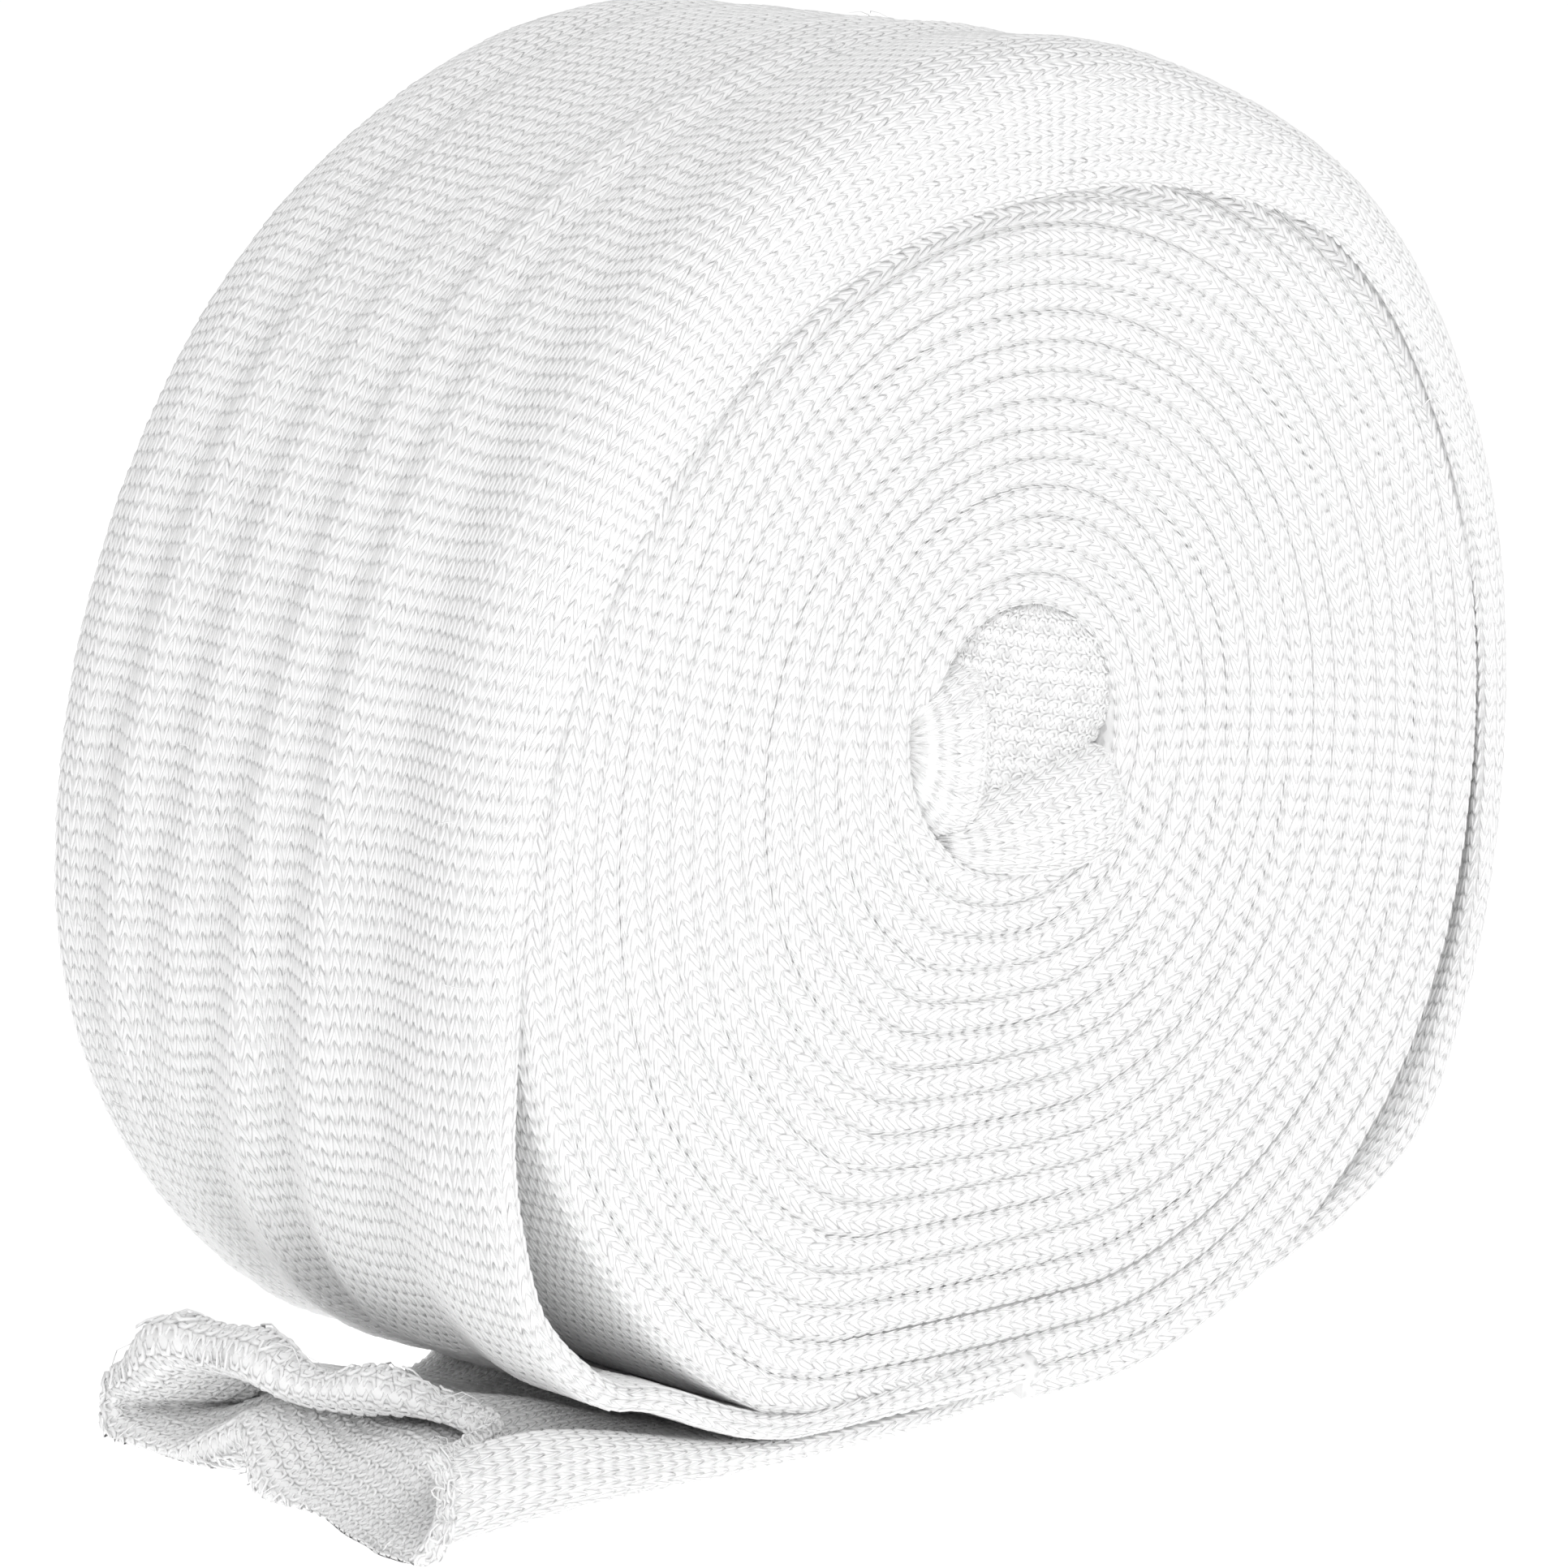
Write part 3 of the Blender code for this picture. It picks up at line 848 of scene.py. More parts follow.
@dataclass
class WoundTurns:
    """The tight turns: a spiral of flat tube whose folded edges make the two round faces."""

    path: RollPath
    half_width: float = 0.032
    stations_per_turn: int = 72
    fold_points: int = 9
    fold_depth: float = 0.00035      # of a turn's rounded edge
    fold_squareness: float = 4.0
    fold_wales: int = 3
    wall_wales: int = 3              # in the ground, of each wall behind an edge
    wall_reach: float = 0.0045       # where the walls behind an edge get their own points
    unevenness: float = 0.00024      # how far a turn's edge stands in or out
    wave_share: float = 0.55
    edge_waves: Table = (
        # radians to a turn, height, multiple of the phase
        (5.9, 1.0, 1),
        (2.1, 0.8, 2),
        (13.7, 0.6, 3),
        (31.0, 0.35, 1),
    )
    edge_phases: tuple[float, float] = (0.4, 2.2)        # near, far
    sag: float = 0.0017              # how far the lowest near edge hangs towards the floor
    sag_place: float = 10.0          # degrees past the lowest line
    sag_flat: float = 14.0           # degrees to each side that hang in full
    sag_fades: tuple[float, float] = (22.0, 34.0)        # degrees, before the lowest line and past it
    sag_turned: float = 900.0        # degrees towards the core over which it fades
    inner_turns: float = 0.75        # how far the spiral goes on inside the core's ring
    tuck_folds: float = 5.0          # how far its last edges stand in, in fold depths
    tuck_turned: float = 30.0        # degrees over which they do
    surface: KnitSurface = field(init=False)

    @property
    def strip_wales(self) -> int:
        """How many wales the ground has over one edge and the walls behind it."""
        return 2 * self.wall_wales + self.fold_wales

    def _edge_offset(self, turned: np.ndarray, phase: float) -> np.ndarray:
        """How far an edge stands in from the face's plane along the spiral."""
        turn = turned / 360
        waves = sum(high * np.sin(turn * rate + times * phase) for rate, high, times in self.edge_waves)
        return self.unevenness * (1.0 + self.wave_share * waves)

    def _lowness(self, turned: np.ndarray) -> np.ndarray:
        """How near a place is to the roll's lowest line, from 0 to 1, fading towards the core."""
        angle = (turned + 180) % 360 - 180
        width = np.where(angle < 0, *self.sag_fades)
        off = np.maximum(np.abs(angle - self.sag_place) - self.sag_flat, 0)
        return np.exp(-((off / width) ** 2)) * np.exp(-((turned / self.sag_turned) ** 2))

    def build(self) -> bpy.types.Object:
        """Makes the spiral of cloth.

        Returns:
            The cloth's object.
        """
        path = self.path
        turns = path.turns - 1 + self.inner_turns
        count = round(turns * self.stations_per_turn) + 1
        turned = np.linspace(0.0, 360.0 * turns, count)
        outer = path.wound(turned)
        inner = path.wound(turned + 360)
        middle, half = (outer + inner) / 2, (outer - inner) / 2
        bend = np.radians(np.linspace(90, -90, self.fold_points))
        power = 2 / self.fold_squareness
        radial = np.sign(np.sin(bend)) * np.abs(np.sin(bend)) ** power
        inset = self.fold_depth * (1 - np.abs(np.cos(bend)) ** power)
        radial = np.concatenate([[1.0], radial, [-1.0]])
        inset = np.concatenate([[self.wall_reach], inset, [self.wall_reach]])
        low = self._lowness(turned)
        last_part = np.clip((turned - turned[-1] + self.tuck_turned) / self.tuck_turned, 0, 1)
        tucked = self.fold_depth * self.tuck_folds * last_part
        columns = []
        for side, order, phase in zip((-1, 1), (1, -1), self.edge_phases):
            offset = self._edge_offset(turned, phase) + tucked
            for share, depth in zip(radial[::order], inset[::order]):
                y = side * (self.half_width - offset - depth)
                at = middle + half * share
                drop = self.sag * low * (1 - depth / self.wall_reach) if side < 0 else 0.0
                columns.append(np.stack([at[:, 0], y, at[:, 1] - drop], axis=1))
        grid = np.stack(columns, axis=1)
        fold = np.linspace(self.wall_wales, self.wall_wales + self.fold_wales, self.fold_points)
        strip = np.concatenate([[0.0], fold, [float(self.strip_wales)]])
        wale_at = np.concatenate([strip, strip + self.strip_wales + 1, [2.0 * self.strip_wales + 2]])
        course_at = run_length(middle) / COURSE
        course_at = np.append(course_at, course_at[-1])
        self.surface = KnitSurface("tight_turns", grid, wale_at, course_at)
        made = self.surface.build()
        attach(made, "root")
        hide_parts("wound_turns")
        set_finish(made, "cotton_roll")
        return made

    def patches(self) -> list[Patch]:
        """The stitches on the two faces."""
        courses = int(self.surface.courses()) - 2
        near_first = self.wall_wales
        far_first = near_first + self.strip_wales + 1
        return [
            Patch(name, kind, first, self.fold_wales, 1, courses, unevenness=0.10, lift=0.9, seed=seed)
            for name, kind, first, seed in (
                ("near_face_stitches", StitchKind.KNIT, near_first, 3),
                ("far_face_stitches", StitchKind.PLAIN, far_first, 4),
            )
        ]

    def flat(self) -> tuple[float, float]:
        """The pressed tube's width and length in the tight turns."""
        return 2 * self.half_width, self.surface.courses() * COURSE


@dataclass
class RollSide:
    """The outermost tight turn's own side, seen where the loose turn stands away from it."""

    path: RollPath
    first_turned: float = 276.0
    last_turned: float = 361.0
    near: float = -0.0314
    far: float = -0.0080
    thickness: float = 0.0006
    stand_off: float = 0.0003        # from the tight turns
    rows: int = 48
    columns: int = 16
    back_step: int = 3               # columns of the front for each of the back
    surface: KnitSurface = field(init=False)

    @property
    def wales(self) -> int:
        """How many wales lie across the strip."""
        return round((self.far - self.near) / WALE)

    def build(self) -> bpy.types.Object:
        """Makes the side's cloth.

        Returns:
            The cloth's object.
        """
        turned = np.linspace(self.first_turned, self.last_turned, self.rows)
        across = np.linspace(self.near, self.far, self.columns)
        rings = []
        back = across[::-self.back_step]
        for outwards, line in ((self.stand_off, across), (self.stand_off - self.thickness, back)):
            at = self.path.wound(turned, outwards)
            parts = (at[:, :1], line, at[:, 1:])
            rings.append(np.stack([np.broadcast_to(a, (self.rows, len(line))) for a in parts], axis=2))
        grid = np.concatenate(rings, axis=1)
        closing = self.wales + np.arange(1.0, len(back) + 2)
        wale_at = np.concatenate([np.linspace(0, self.wales, self.columns), closing])
        course_at = run_length(grid[:, 0]) / COURSE
        self.surface = KnitSurface("roll_side", grid, wale_at, np.append(course_at, course_at[-1]))
        made = self.surface.build()
        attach(made, "root")
        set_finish(made, "cotton_roll")
        return made

    def patches(self) -> list[Patch]:
        """The stitches on the side."""
        courses = int(self.surface.courses()) - 1
        return [Patch("roll_side_stitches", StitchKind.KNIT, 0, self.wales, 0, courses, 0.15, 0.9, 8)]

    def flat(self) -> tuple[float, float]:
        """The side's width and length."""
        return self.far - self.near, self.surface.courses() * COURSE


@dataclass
class LooseTurn:
    """The one loose turn round the roll, which hangs over the near edge at the top."""

    path: RollPath
    free_end: "OpenEnd"
    half_width: float = 0.032
    thickness: float = 0.0024
    pressed_thickness: float = 0.0019
    widest_gap: float = 0.0075
    droop: float = 0.012
    shoulder_radius: float = 0.0045
    least_hang: float = 0.0004
    far_taper: float = 0.0012        # how far the outside falls towards the far edge
    taper_share: float = 12.0        # of the width, over which it does, as one part in so many
    clearance: float = 0.0007        # from the tight turns
    tail_clearance: float = 0.0005   # from the free end under it
    start: float = -93.0
    end: float = 270.5
    ends_plain: float = 10.0         # degrees at each end without the taper
    ends_ease: float = 30.0          # degrees over which it then grows
    join_start: float = 240.0        # where it starts to run into the tight turns
    join_span: float = 24.0
    join_thickness: float = 0.0029
    stations: int = 200
    columns: int = 76
    flat_points: int = 61            # of a section's drawing, before it is resampled
    bend_points: int = 10
    edge_turns: tuple[int, ...] = (30, 60, 90, 120, 150)     # degrees round a section's edge
    back_points: int = 4             # of the hidden stretch that closes a section
    inner_near: float = 0.0065       # how much of the inner wall gets stitches at the near edge
    inner_far: float = 0.0035
    slack: float = 0.005             # what the shoulder and the creases add to the flat width
    shape: Table = (
        # angle, stand_off_near, stand_off_far, droop, reach, pressed
        (-95, 0.00, 0.00, 0.00, -3.20, 1.0),
        (-80, 0.00, 0.00, 0.00, -3.00, 1.0),
        (-62, 0.02, 0.02, 0.00, -1.80, 0.4),
        (-42, 0.48, 0.28, 0.00, -0.70, 0.0),
        (-30, 0.46, 0.28, 0.06, -0.60, 0.0),
        (-5, 0.38, 0.24, 0.20, -0.30, 0.0),
        (25, 0.30, 0.20, 0.30, 0.30, 0.0),
        (46, 0.38, 0.24, 0.38, 0.60, 0.0),
        (66, 0.28, 0.26, 0.66, 0.90, 0.0),
        (92, 0.44, 0.38, 0.98, 0.90, 0.0),
        (122, 0.40, 0.12, 0.86, 0.90, 0.0),
        (154, 0.34, 0.04, 0.56, 0.90, 0.0),
        (180, 0.20, 0.20, 0.14, 0.45, 0.0),
        (196, 0.28, 0.28, 0.08, 0.10, 0.0),
        (208, 0.72, 0.30, 0.04, -0.10, 0.0),
        (217, 0.98, 0.32, 0.00, -0.20, 0.0),
        (227, 0.74, 0.30, 0.00, -0.30, 0.0),
        (238, 0.24, 0.26, 0.00, -0.40, 0.2),
        (248, 0.02, 0.10, 0.00, -0.35, 0.8),
        (271, 0.00, 0.00, 0.00, -0.20, 1.0),
    )
    creases: Table = (
        # angle, the creases' places across from the near edge
        (30, 0.14, 0.30, 0.46, 0.60, 0.84),
        (95, 0.12, 0.20, 0.34, 0.48, 0.78),
        (116, 0.12, 0.24, 0.41, 0.53, 0.80),
        (144, 0.14, 0.31, 0.465, 0.63, 0.82),
        (172, 0.15, 0.37, 0.52, 0.68, 0.86),
        (186, 0.17, 0.41, 0.57, 0.72, 0.89),
        (200, 0.20, 0.45, 0.63, 0.77, 0.92),
        (214, 0.24, 0.52, 0.72, 0.84, 0.94),
        (228, 0.30, 0.60, 0.80, 0.90, 0.96),
        (268, 0.40, 0.66, 0.84, 0.92, 0.97),
    )
    crease_depths: tuple[float, ...] = (0.0009, 0.0012, 0.0011, 0.0008, 0.0011)
    crease_widths: tuple[float, ...] = (0.065, 0.042, 0.050, 0.042, 0.040)
    crease_roundness: float = 1.6
    ridge_height: float = 0.45       # of the cloth pushed up beside a crease, as a share of its depth
    ridge_place: float = 2.0         # how far from the crease, in its widths
    crease_strength: Table = (
        # angle, share of the depth
        (-40, 0.0),
        (0, 0.3),
        (70, 0.4),
        (95, 0.5),
        (116, 0.95),
        (150, 1.0),
        (205, 1.0),
        (230, 0.7),
        (262, 0.0),
    )
    crowding: float = 380.0          # how much closer the wales lie in a crease, per metre of depth
    crowd_limits: tuple[float, float] = (0.45, 1.7)
    fibre_first: int = 20            # the first course with loose fibres
    fibre_left_out: int = 60         # how many courses have none
    surface: KnitSurface = field(init=False)

    @property
    def wales(self) -> int:
        """How many wales lie across the outside and both edges."""
        return round((2 * self.half_width + self.inner_near + self.inner_far + self.slack) / WALE)

    def _relief(self, across: np.ndarray, turned: float) -> np.ndarray:
        """The soft folds' height at places across the flat part, from the near edge."""
        angle = turned - 90
        height = np.zeros_like(across)
        for k, (depth, width) in enumerate(zip(self.crease_depths, self.crease_widths)):
            centre = float(smooth_column(self.creases, k + 1, angle))
            off = np.abs(across - centre) / width
            ridge = self.ridge_height * np.exp(-((off - self.ridge_place) ** 2))
            height += depth * (ridge - np.exp(-(off ** self.crease_roundness)))
        return height * float(smooth_column(self.crease_strength, 1, angle))

    def _radii(self, turned: float, thickness: float, join: float) -> list[float]:
        """The outside's radius at the near edge and at the far one.

        Args:
            turned: the degrees turned since the roll's lowest line.
            thickness: the band's thickness there.
            join: how far it has run into the tight turns, from 0 to 1.

        Returns:
            The near radius and the far radius.
        """
        path, angle = self.path, turned - 90
        if turned < 0:
            return [path.centre_height / math.cos(math.radians(turned))] * 2
        against = float(path.winding_radius(turned)) + self.clearance * (1 - join) + thickness
        floor = self.free_end.top_under(angle, path) + self.tail_clearance if turned > 180 else 0.0
        gaps = (self.widest_gap * float(smooth_column(self.shape, k, angle)) for k in (1, 2))
        return [float(path.flattened(against + gap, angle, floor)) for gap in gaps]

    def _round_edge(self, outer: np.ndarray, inner: np.ndarray, bulge: np.ndarray) -> list[np.ndarray]:
        """The rounded edge from the outside's end to the inside's."""
        middle = (outer + inner) / 2
        upward = outer - middle
        turns = np.radians(self.edge_turns)
        return [middle + upward * math.cos(a) + bulge * math.sin(a) for a in turns]

    def _section(self, turned: float) -> np.ndarray:
        """The section's outline at one place.

        Args:
            turned: the degrees turned since the roll's lowest line.

        Returns:
            Y, radius and relief of even points, from the inner wall round the near edge, across
            the outside, round the far edge, and back along the inner wall.
        """
        angle = turned - 90
        droop, reach, pressed = (float(smooth_column(self.shape, k, angle)) for k in (3, 4, 5))
        thickness = self.thickness + (self.pressed_thickness - self.thickness) * pressed
        join = min(max((angle - self.join_start) / self.join_span, 0.0), 1.0)
        thickness += (self.join_thickness - thickness) * join
        near_r, far_r = self._radii(turned, thickness, join)
        droop = self.droop * max(droop, 0.0)
        half = thickness / 2
        bend = math.acos(1 - min(droop / self.shoulder_radius, 1.0))
        hang = max(droop - self.shoulder_radius, 0.0)
        bend_y = -self.half_width - self.thickness * reach + self.shoulder_radius * math.sin(bend)
        far_y = self.half_width - half
        from_end = min(turned, self.end - angle)
        ease = min(max((from_end - self.ends_plain) / self.ends_ease, 0.0), 1.0)
        across = np.linspace(0, 1, self.flat_points)
        y = far_y + (bend_y - far_y) * across
        radius = far_r + (near_r - far_r) * across
        taper = self.far_taper * ease * np.clip(1 - across * self.taper_share, 0, None)
        relief = self._relief(1 - across, turned)
        outside = np.stack([y, radius + relief - taper, relief], axis=1)
        inside = np.stack([y, radius - thickness, 0 * y], axis=1)
        centre = near_r - half - self.shoulder_radius
        part = bend * np.linspace(0.1, 1, self.bend_points)
        forward = np.array([-math.cos(bend), -math.sin(bend), 0.0])
        walls = []
        for flat, spread in ((outside, half), (inside, -half)):
            arm = self.shoulder_radius + spread
            curve = np.stack([bend_y - arm * np.sin(part), centre + arm * np.cos(part), 0 * part], axis=1)
            down = curve[-1:] + forward * max(hang, self.least_hang)
            walls.append(np.concatenate([flat, curve, down]))
        outside, inside = walls
        line = resampled(np.concatenate([
            self._first_part(inside[::-1], self.inner_near)[::-1],
            self._round_edge(outside[-1], inside[-1], forward * half)[::-1],
            outside[::-1],
            self._round_edge(outside[0], inside[0], np.array([half, 0.0, 0.0])),
            self._first_part(inside, self.inner_far),
        ]), self.columns)
        back = np.linspace(line[-1], line[0], self.back_points + 2)[1:-1]
        back[:, 1] = np.interp(back[:, 0], inside[::-1, 0], inside[::-1, 1])
        return np.concatenate([line, back])

    @staticmethod
    def _first_part(line: np.ndarray, reach: float) -> np.ndarray:
        """The first stretch of a polyline, cut at a length."""
        run = run_length(line)
        kept = line[run < reach]
        end = np.array([np.interp(reach, run, line[:, k]) for k in range(3)])
        return np.concatenate([kept, end[None]])

    def build(self) -> bpy.types.Object:
        """Makes the loose turn's cloth.

        Returns:
            The cloth's object.
        """
        turned = np.linspace(self.start, self.end, self.stations) + 90
        rings, wales = [], []
        closing = self.wales + np.arange(1, self.back_points + 2)
        for value in turned:
            section = self._section(float(value))
            crowd = np.clip(1 - self.crowding * section[:self.columns, 2], *self.crowd_limits)
            share = np.concatenate([[0.0], np.cumsum((crowd[1:] + crowd[:-1]) / 2)])
            wales.append(np.concatenate([self.wales * share / share[-1], closing]))
            angle = math.radians(value - 90)
            rings.append(np.stack([
                section[:, 1] * math.cos(angle),
                section[:, 0],
                self.path.centre_height + section[:, 1] * math.sin(angle),
            ], axis=1))
        grid = np.array(rings)
        grid[..., 2] = np.maximum(grid[..., 2], 0.0)
        course_at = run_length(grid[:, self.columns // 2]) / COURSE
        course_at = np.append(course_at, course_at[-1])
        self.surface = KnitSurface("loose_turn", grid, np.array(wales), course_at)
        made = self.surface.build()
        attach(made, "root")
        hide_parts("outer_turn")
        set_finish(made, "cotton_outer")
        return made

    def patches(self) -> list[Patch]:
        """The stitches round the whole turn, in three bands across it."""
        courses = int(self.surface.courses()) - 1
        third = self.wales // 3
        patches = [
            Patch(f"loose_turn_{name}_stitches", StitchKind.KNIT, first, wales, 0, courses, seed=seed)
            for name, first, wales, seed in (
                ("near", 0, third, 11),
                ("middle", third, third, 12),
                ("far", 2 * third, self.wales - 2 * third, 13),
            )
        ]
        fibres = Patch(
            "loose_turn_fibres", StitchKind.FIBRE, 0, self.wales, self.fibre_first,
            courses - self.fibre_left_out, unevenness=0.4, seed=14, slant=3.1, share=0.004,
        )
        return [*patches, fibres]

    def flat(self) -> tuple[float, float]:
        """The pressed tube's width and length in the loose turn."""
        return 2 * self.half_width, self.surface.courses() * COURSE


@dataclass
class OpenEnd:
    """The free end on the floor: pressed flat under the roll and open at its rolled cut edge."""

    half_width: float = 0.032
    start: float = 0.014
    length: float = 0.058
    mouth_height: float = 0.0088
    pressed_thickness: float = 0.0019
    wall: float = 0.0008
    opens_at: tuple[float, float] = (0.25, 0.84)
    far_lag: float = 0.14
    tucked: float = -0.38            # where the tube starts under the roll, as a share of the length
    tuck_in: float = 0.35            # how far its near side is drawn in there, by the share
    rows: int = 56
    columns: int = 150
    wales: int = 88
    press_reach: float = 0.17        # how far behind the mouth the walls come together, by the share
    press_share: float = 0.85
    lip_steps: int = 13
    lip_turn: tuple[float, float] = (-90.0, 215.0)
    lip_waves: Table = (
        # radians round the mouth, share of the radius, phase
        (61, 0.16, 0),
        (23, 0.12, 1),
    )
    lip_length: float = 0.006        # of the flat tube that is rolled up
    purl_depth: int = 11             # courses of purl loops behind the lip
    hidden_courses: float = 4        # of the stretch inside that closes the grid
    side_radius: float = 0.0032
    side_share: float = 1.3          # the most that a side bulges, against its half height
    sides: Table = (
        # along, near, far
        (0.00, -1.00, 0.98),
        (0.16, -1.00, 0.84),
        (0.36, -1.00, 0.50),
        (0.58, -1.01, 0.34),
        (0.78, -1.03, 0.34),
        (0.90, -1.05, 0.43),
        (1.00, -1.09, 0.56),
    )
    mouth: Table = (
        # across, lower_wall, upper_wall, lower_pull, upper_pull
        (0.00, 0.00, 0.94, -0.07, -0.02),
        (0.06, 0.00, 0.80, -0.07, 0.07),
        (0.12, 0.00, 0.70, -0.05, 0.18),
        (0.19, 0.01, 0.80, -0.03, 0.20),
        (0.27, 0.03, 0.96, -0.01, 0.16),
        (0.35, 0.07, 0.98, 0.00, 0.12),
        (0.46, 0.16, 0.92, 0.00, 0.09),
        (0.56, 0.48, 0.94, 0.02, 0.07),
        (0.64, 0.62, 1.00, 0.05, 0.07),
        (0.73, 0.40, 1.04, 0.05, 0.06),
        (0.84, 0.12, 0.98, 0.03, 0.04),
        (1.00, 0.16, 0.54, 0.03, 0.03),
    )
    lip: Table = (
        # place round the mouth from the near side's middle under to the far side and back, radius
        (0.00, 0.0007),
        (0.05, 0.0011),
        (0.12, 0.0018),
        (0.30, 0.0017),
        (0.46, 0.0019),
        (0.56, 0.0023),
        (0.72, 0.0021),
        (0.79, 0.0014),
        (0.88, 0.0011),
        (0.96, 0.0008),
        (1.00, 0.0007),
    )
    surface: KnitSurface = field(init=False)

    def opened(self, along: float, across: np.ndarray | float) -> np.ndarray:
        """How far the tube has opened at a share of its length and of its width, from 0 to 1."""
        first, last = (edge + self.far_lag * np.asarray(across) for edge in self.opens_at)
        t = np.clip((along - first) / (last - first), 0, 1)
        return t * t * (3 - 2 * t)

    def top_under(self, angle: float, path: RollPath) -> float:
        """The free end's height where the loose turn comes down on it, at an angle."""
        x = -path.centre_height / math.tan(math.radians(angle))
        along = (-x - self.start) / self.length
        rise = self.mouth_height - self.pressed_thickness
        return self.pressed_thickness + rise * float(self.opened(along, 0.0))

    def _ring(self, along: float) -> np.ndarray:
        """The outer skin's section at a share of the length.

        Args:
            along: the share, 0 under the roll and 1 at the mouth.

        Returns:
            Even points, from the near side's middle under the tube and back over it.
        """
        drawn_in = self.tuck_in * max(-along, 0)
        near = self.half_width * (float(smooth_column(self.sides, 1, along)) + drawn_in)
        far = self.half_width * float(smooth_column(self.sides, 2, along))
        across = np.linspace(0, 1, 60)
        open_share = self.opened(along, across)
        low = self.mouth_height * np.maximum(smooth_column(self.mouth, 1, across), 0) * open_share
        high = self.mouth_height * smooth_column(self.mouth, 2, across)
        high = self.pressed_thickness + (high - self.pressed_thickness) * open_share
        walls = []
        for z, column in ((low, 3), (high, 4)):
            pull = self.length * smooth_column(self.mouth, column, across)
            x = -self.start - self.length * along + pull * max(along, 0) ** 2
            walls.append((x, z))
        (low_x, low), (high_x, high) = walls
        corners = []
        for end in (0, -1):
            half = (high[end] - low[end]) / 2
            corners.append(min(self.side_radius, half * self.side_share))
        y = near + corners[0] + (far - near - corners[0] - corners[1]) * across
        lower = np.stack([low_x, y, low], axis=1)
        upper = np.stack([high_x, y, high], axis=1)
        turns = np.radians(np.linspace(0, 180, 13))[1:-1]
        far_side = self._side(lower[-1], upper[-1], corners[1], turns)
        near_side = self._side(upper[0], lower[0], -corners[0], turns)
        half = len(near_side) // 2
        ring = np.concatenate([near_side[half:], lower, far_side, upper[::-1], near_side[:half + 1]])
        return resampled(ring, self.columns + 1)[:-1]

    def _pressed(self, inner: np.ndarray, along: np.ndarray) -> np.ndarray:
        """Presses the inside's two walls towards each other behind the mouth.

        Args:
            inner: the inside's rows, each from the near side under to the far side and back.
            along: each row's share of the length.

        Returns:
            The rows, with the lower wall raised under the upper one.
        """
        half = self.columns // 2
        pressed = inner.copy()
        for row, share in zip(pressed, along):
            depth = min(max((1 - share) / self.press_reach, 0.0), 1.0)
            depth = self.press_share * depth * depth * (3 - 2 * depth)
            lower, upper = row[:half], row[half:]
            order = np.argsort(upper[:, 1])
            above = np.interp(lower[:, 1], upper[order, 1], upper[order, 2])
            lower[:, 2] += depth * np.maximum(above - self.wall - lower[:, 2], 0)
        return pressed

    @staticmethod
    def _side(start: np.ndarray, end: np.ndarray, bulge: float, turns: np.ndarray) -> np.ndarray:
        """A rounded side between two walls."""
        middle, half = (start + end) / 2, (start - end) / 2
        out = np.array([0.0, bulge, 0.0])
        return np.stack([middle + half * math.cos(a) + out * math.sin(a) for a in turns])

    def build(self) -> bpy.types.Object:
        """Makes the hollow end with its rolled lip.

        Returns:
            The cloth's object.
        """
        along = np.linspace(self.tucked, 1, self.rows)
        outer = np.array([self._ring(float(a)) for a in along])
        draft = KnitSurface("draft", outer, np.zeros(1), np.zeros(1))
        normal = draft.normals()
        centre = outer.mean(axis=1, keepdims=True)
        if np.mean(np.sum(normal * (outer - centre), axis=2)) < 0:
            normal = -normal
        inner = outer - self.wall * normal
        edge, outward = outer[-1], normal[-1]
        forward = outer[-1] - outer[-3]
        forward /= np.linalg.norm(forward, axis=1, keepdims=True)
        place = np.arange(self.columns) / self.columns
        radius = smooth_column(self.lip, 1, place)
        waves = (share * np.sin(place * rate + phase) for rate, share, phase in self.lip_waves)
        radius = radius * sum(waves, 1.0)
        rolled = []
        for turn in np.radians(np.linspace(*self.lip_turn, self.lip_steps)):
            reach = radius * (1 - 0.10 * (turn + 1.5) / 5)
            rolled.append(
                edge
                + outward * (radius - self.wall / 2 + reach * math.sin(turn))[:, None]
                + forward * (reach * math.cos(turn))[:, None]
            )
        rolled = np.array(rolled)
        inside_rows = self._pressed(inner, along)[self.rows // 3:-1]
        grid = np.concatenate([outer[:-1], rolled[::-1], inside_rows[::-1]])
        grid[..., 2] = np.maximum(grid[..., 2], 0.0)
        step = np.linalg.norm(np.diff(grid, axis=0), axis=2).mean(axis=1)
        course_at = np.concatenate([[0.0], np.cumsum(step)]) / COURSE
        course_at = np.append(course_at, course_at[-1] + self.hidden_courses)
        wale_at = np.linspace(0, self.wales, self.columns + 1)
        self.surface = KnitSurface("open_end", grid, wale_at, course_at, closed_rows=True)
        made = self.surface.build()
        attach(made, "root")
        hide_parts("free_end")
        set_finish(made, "cotton_end")
        return made

    def flat(self) -> tuple[float, float]:
        """The opened tube's girth and length in the free end."""
        return 4 * self.half_width, self.length * (1 - self.tucked) + self.lip_length

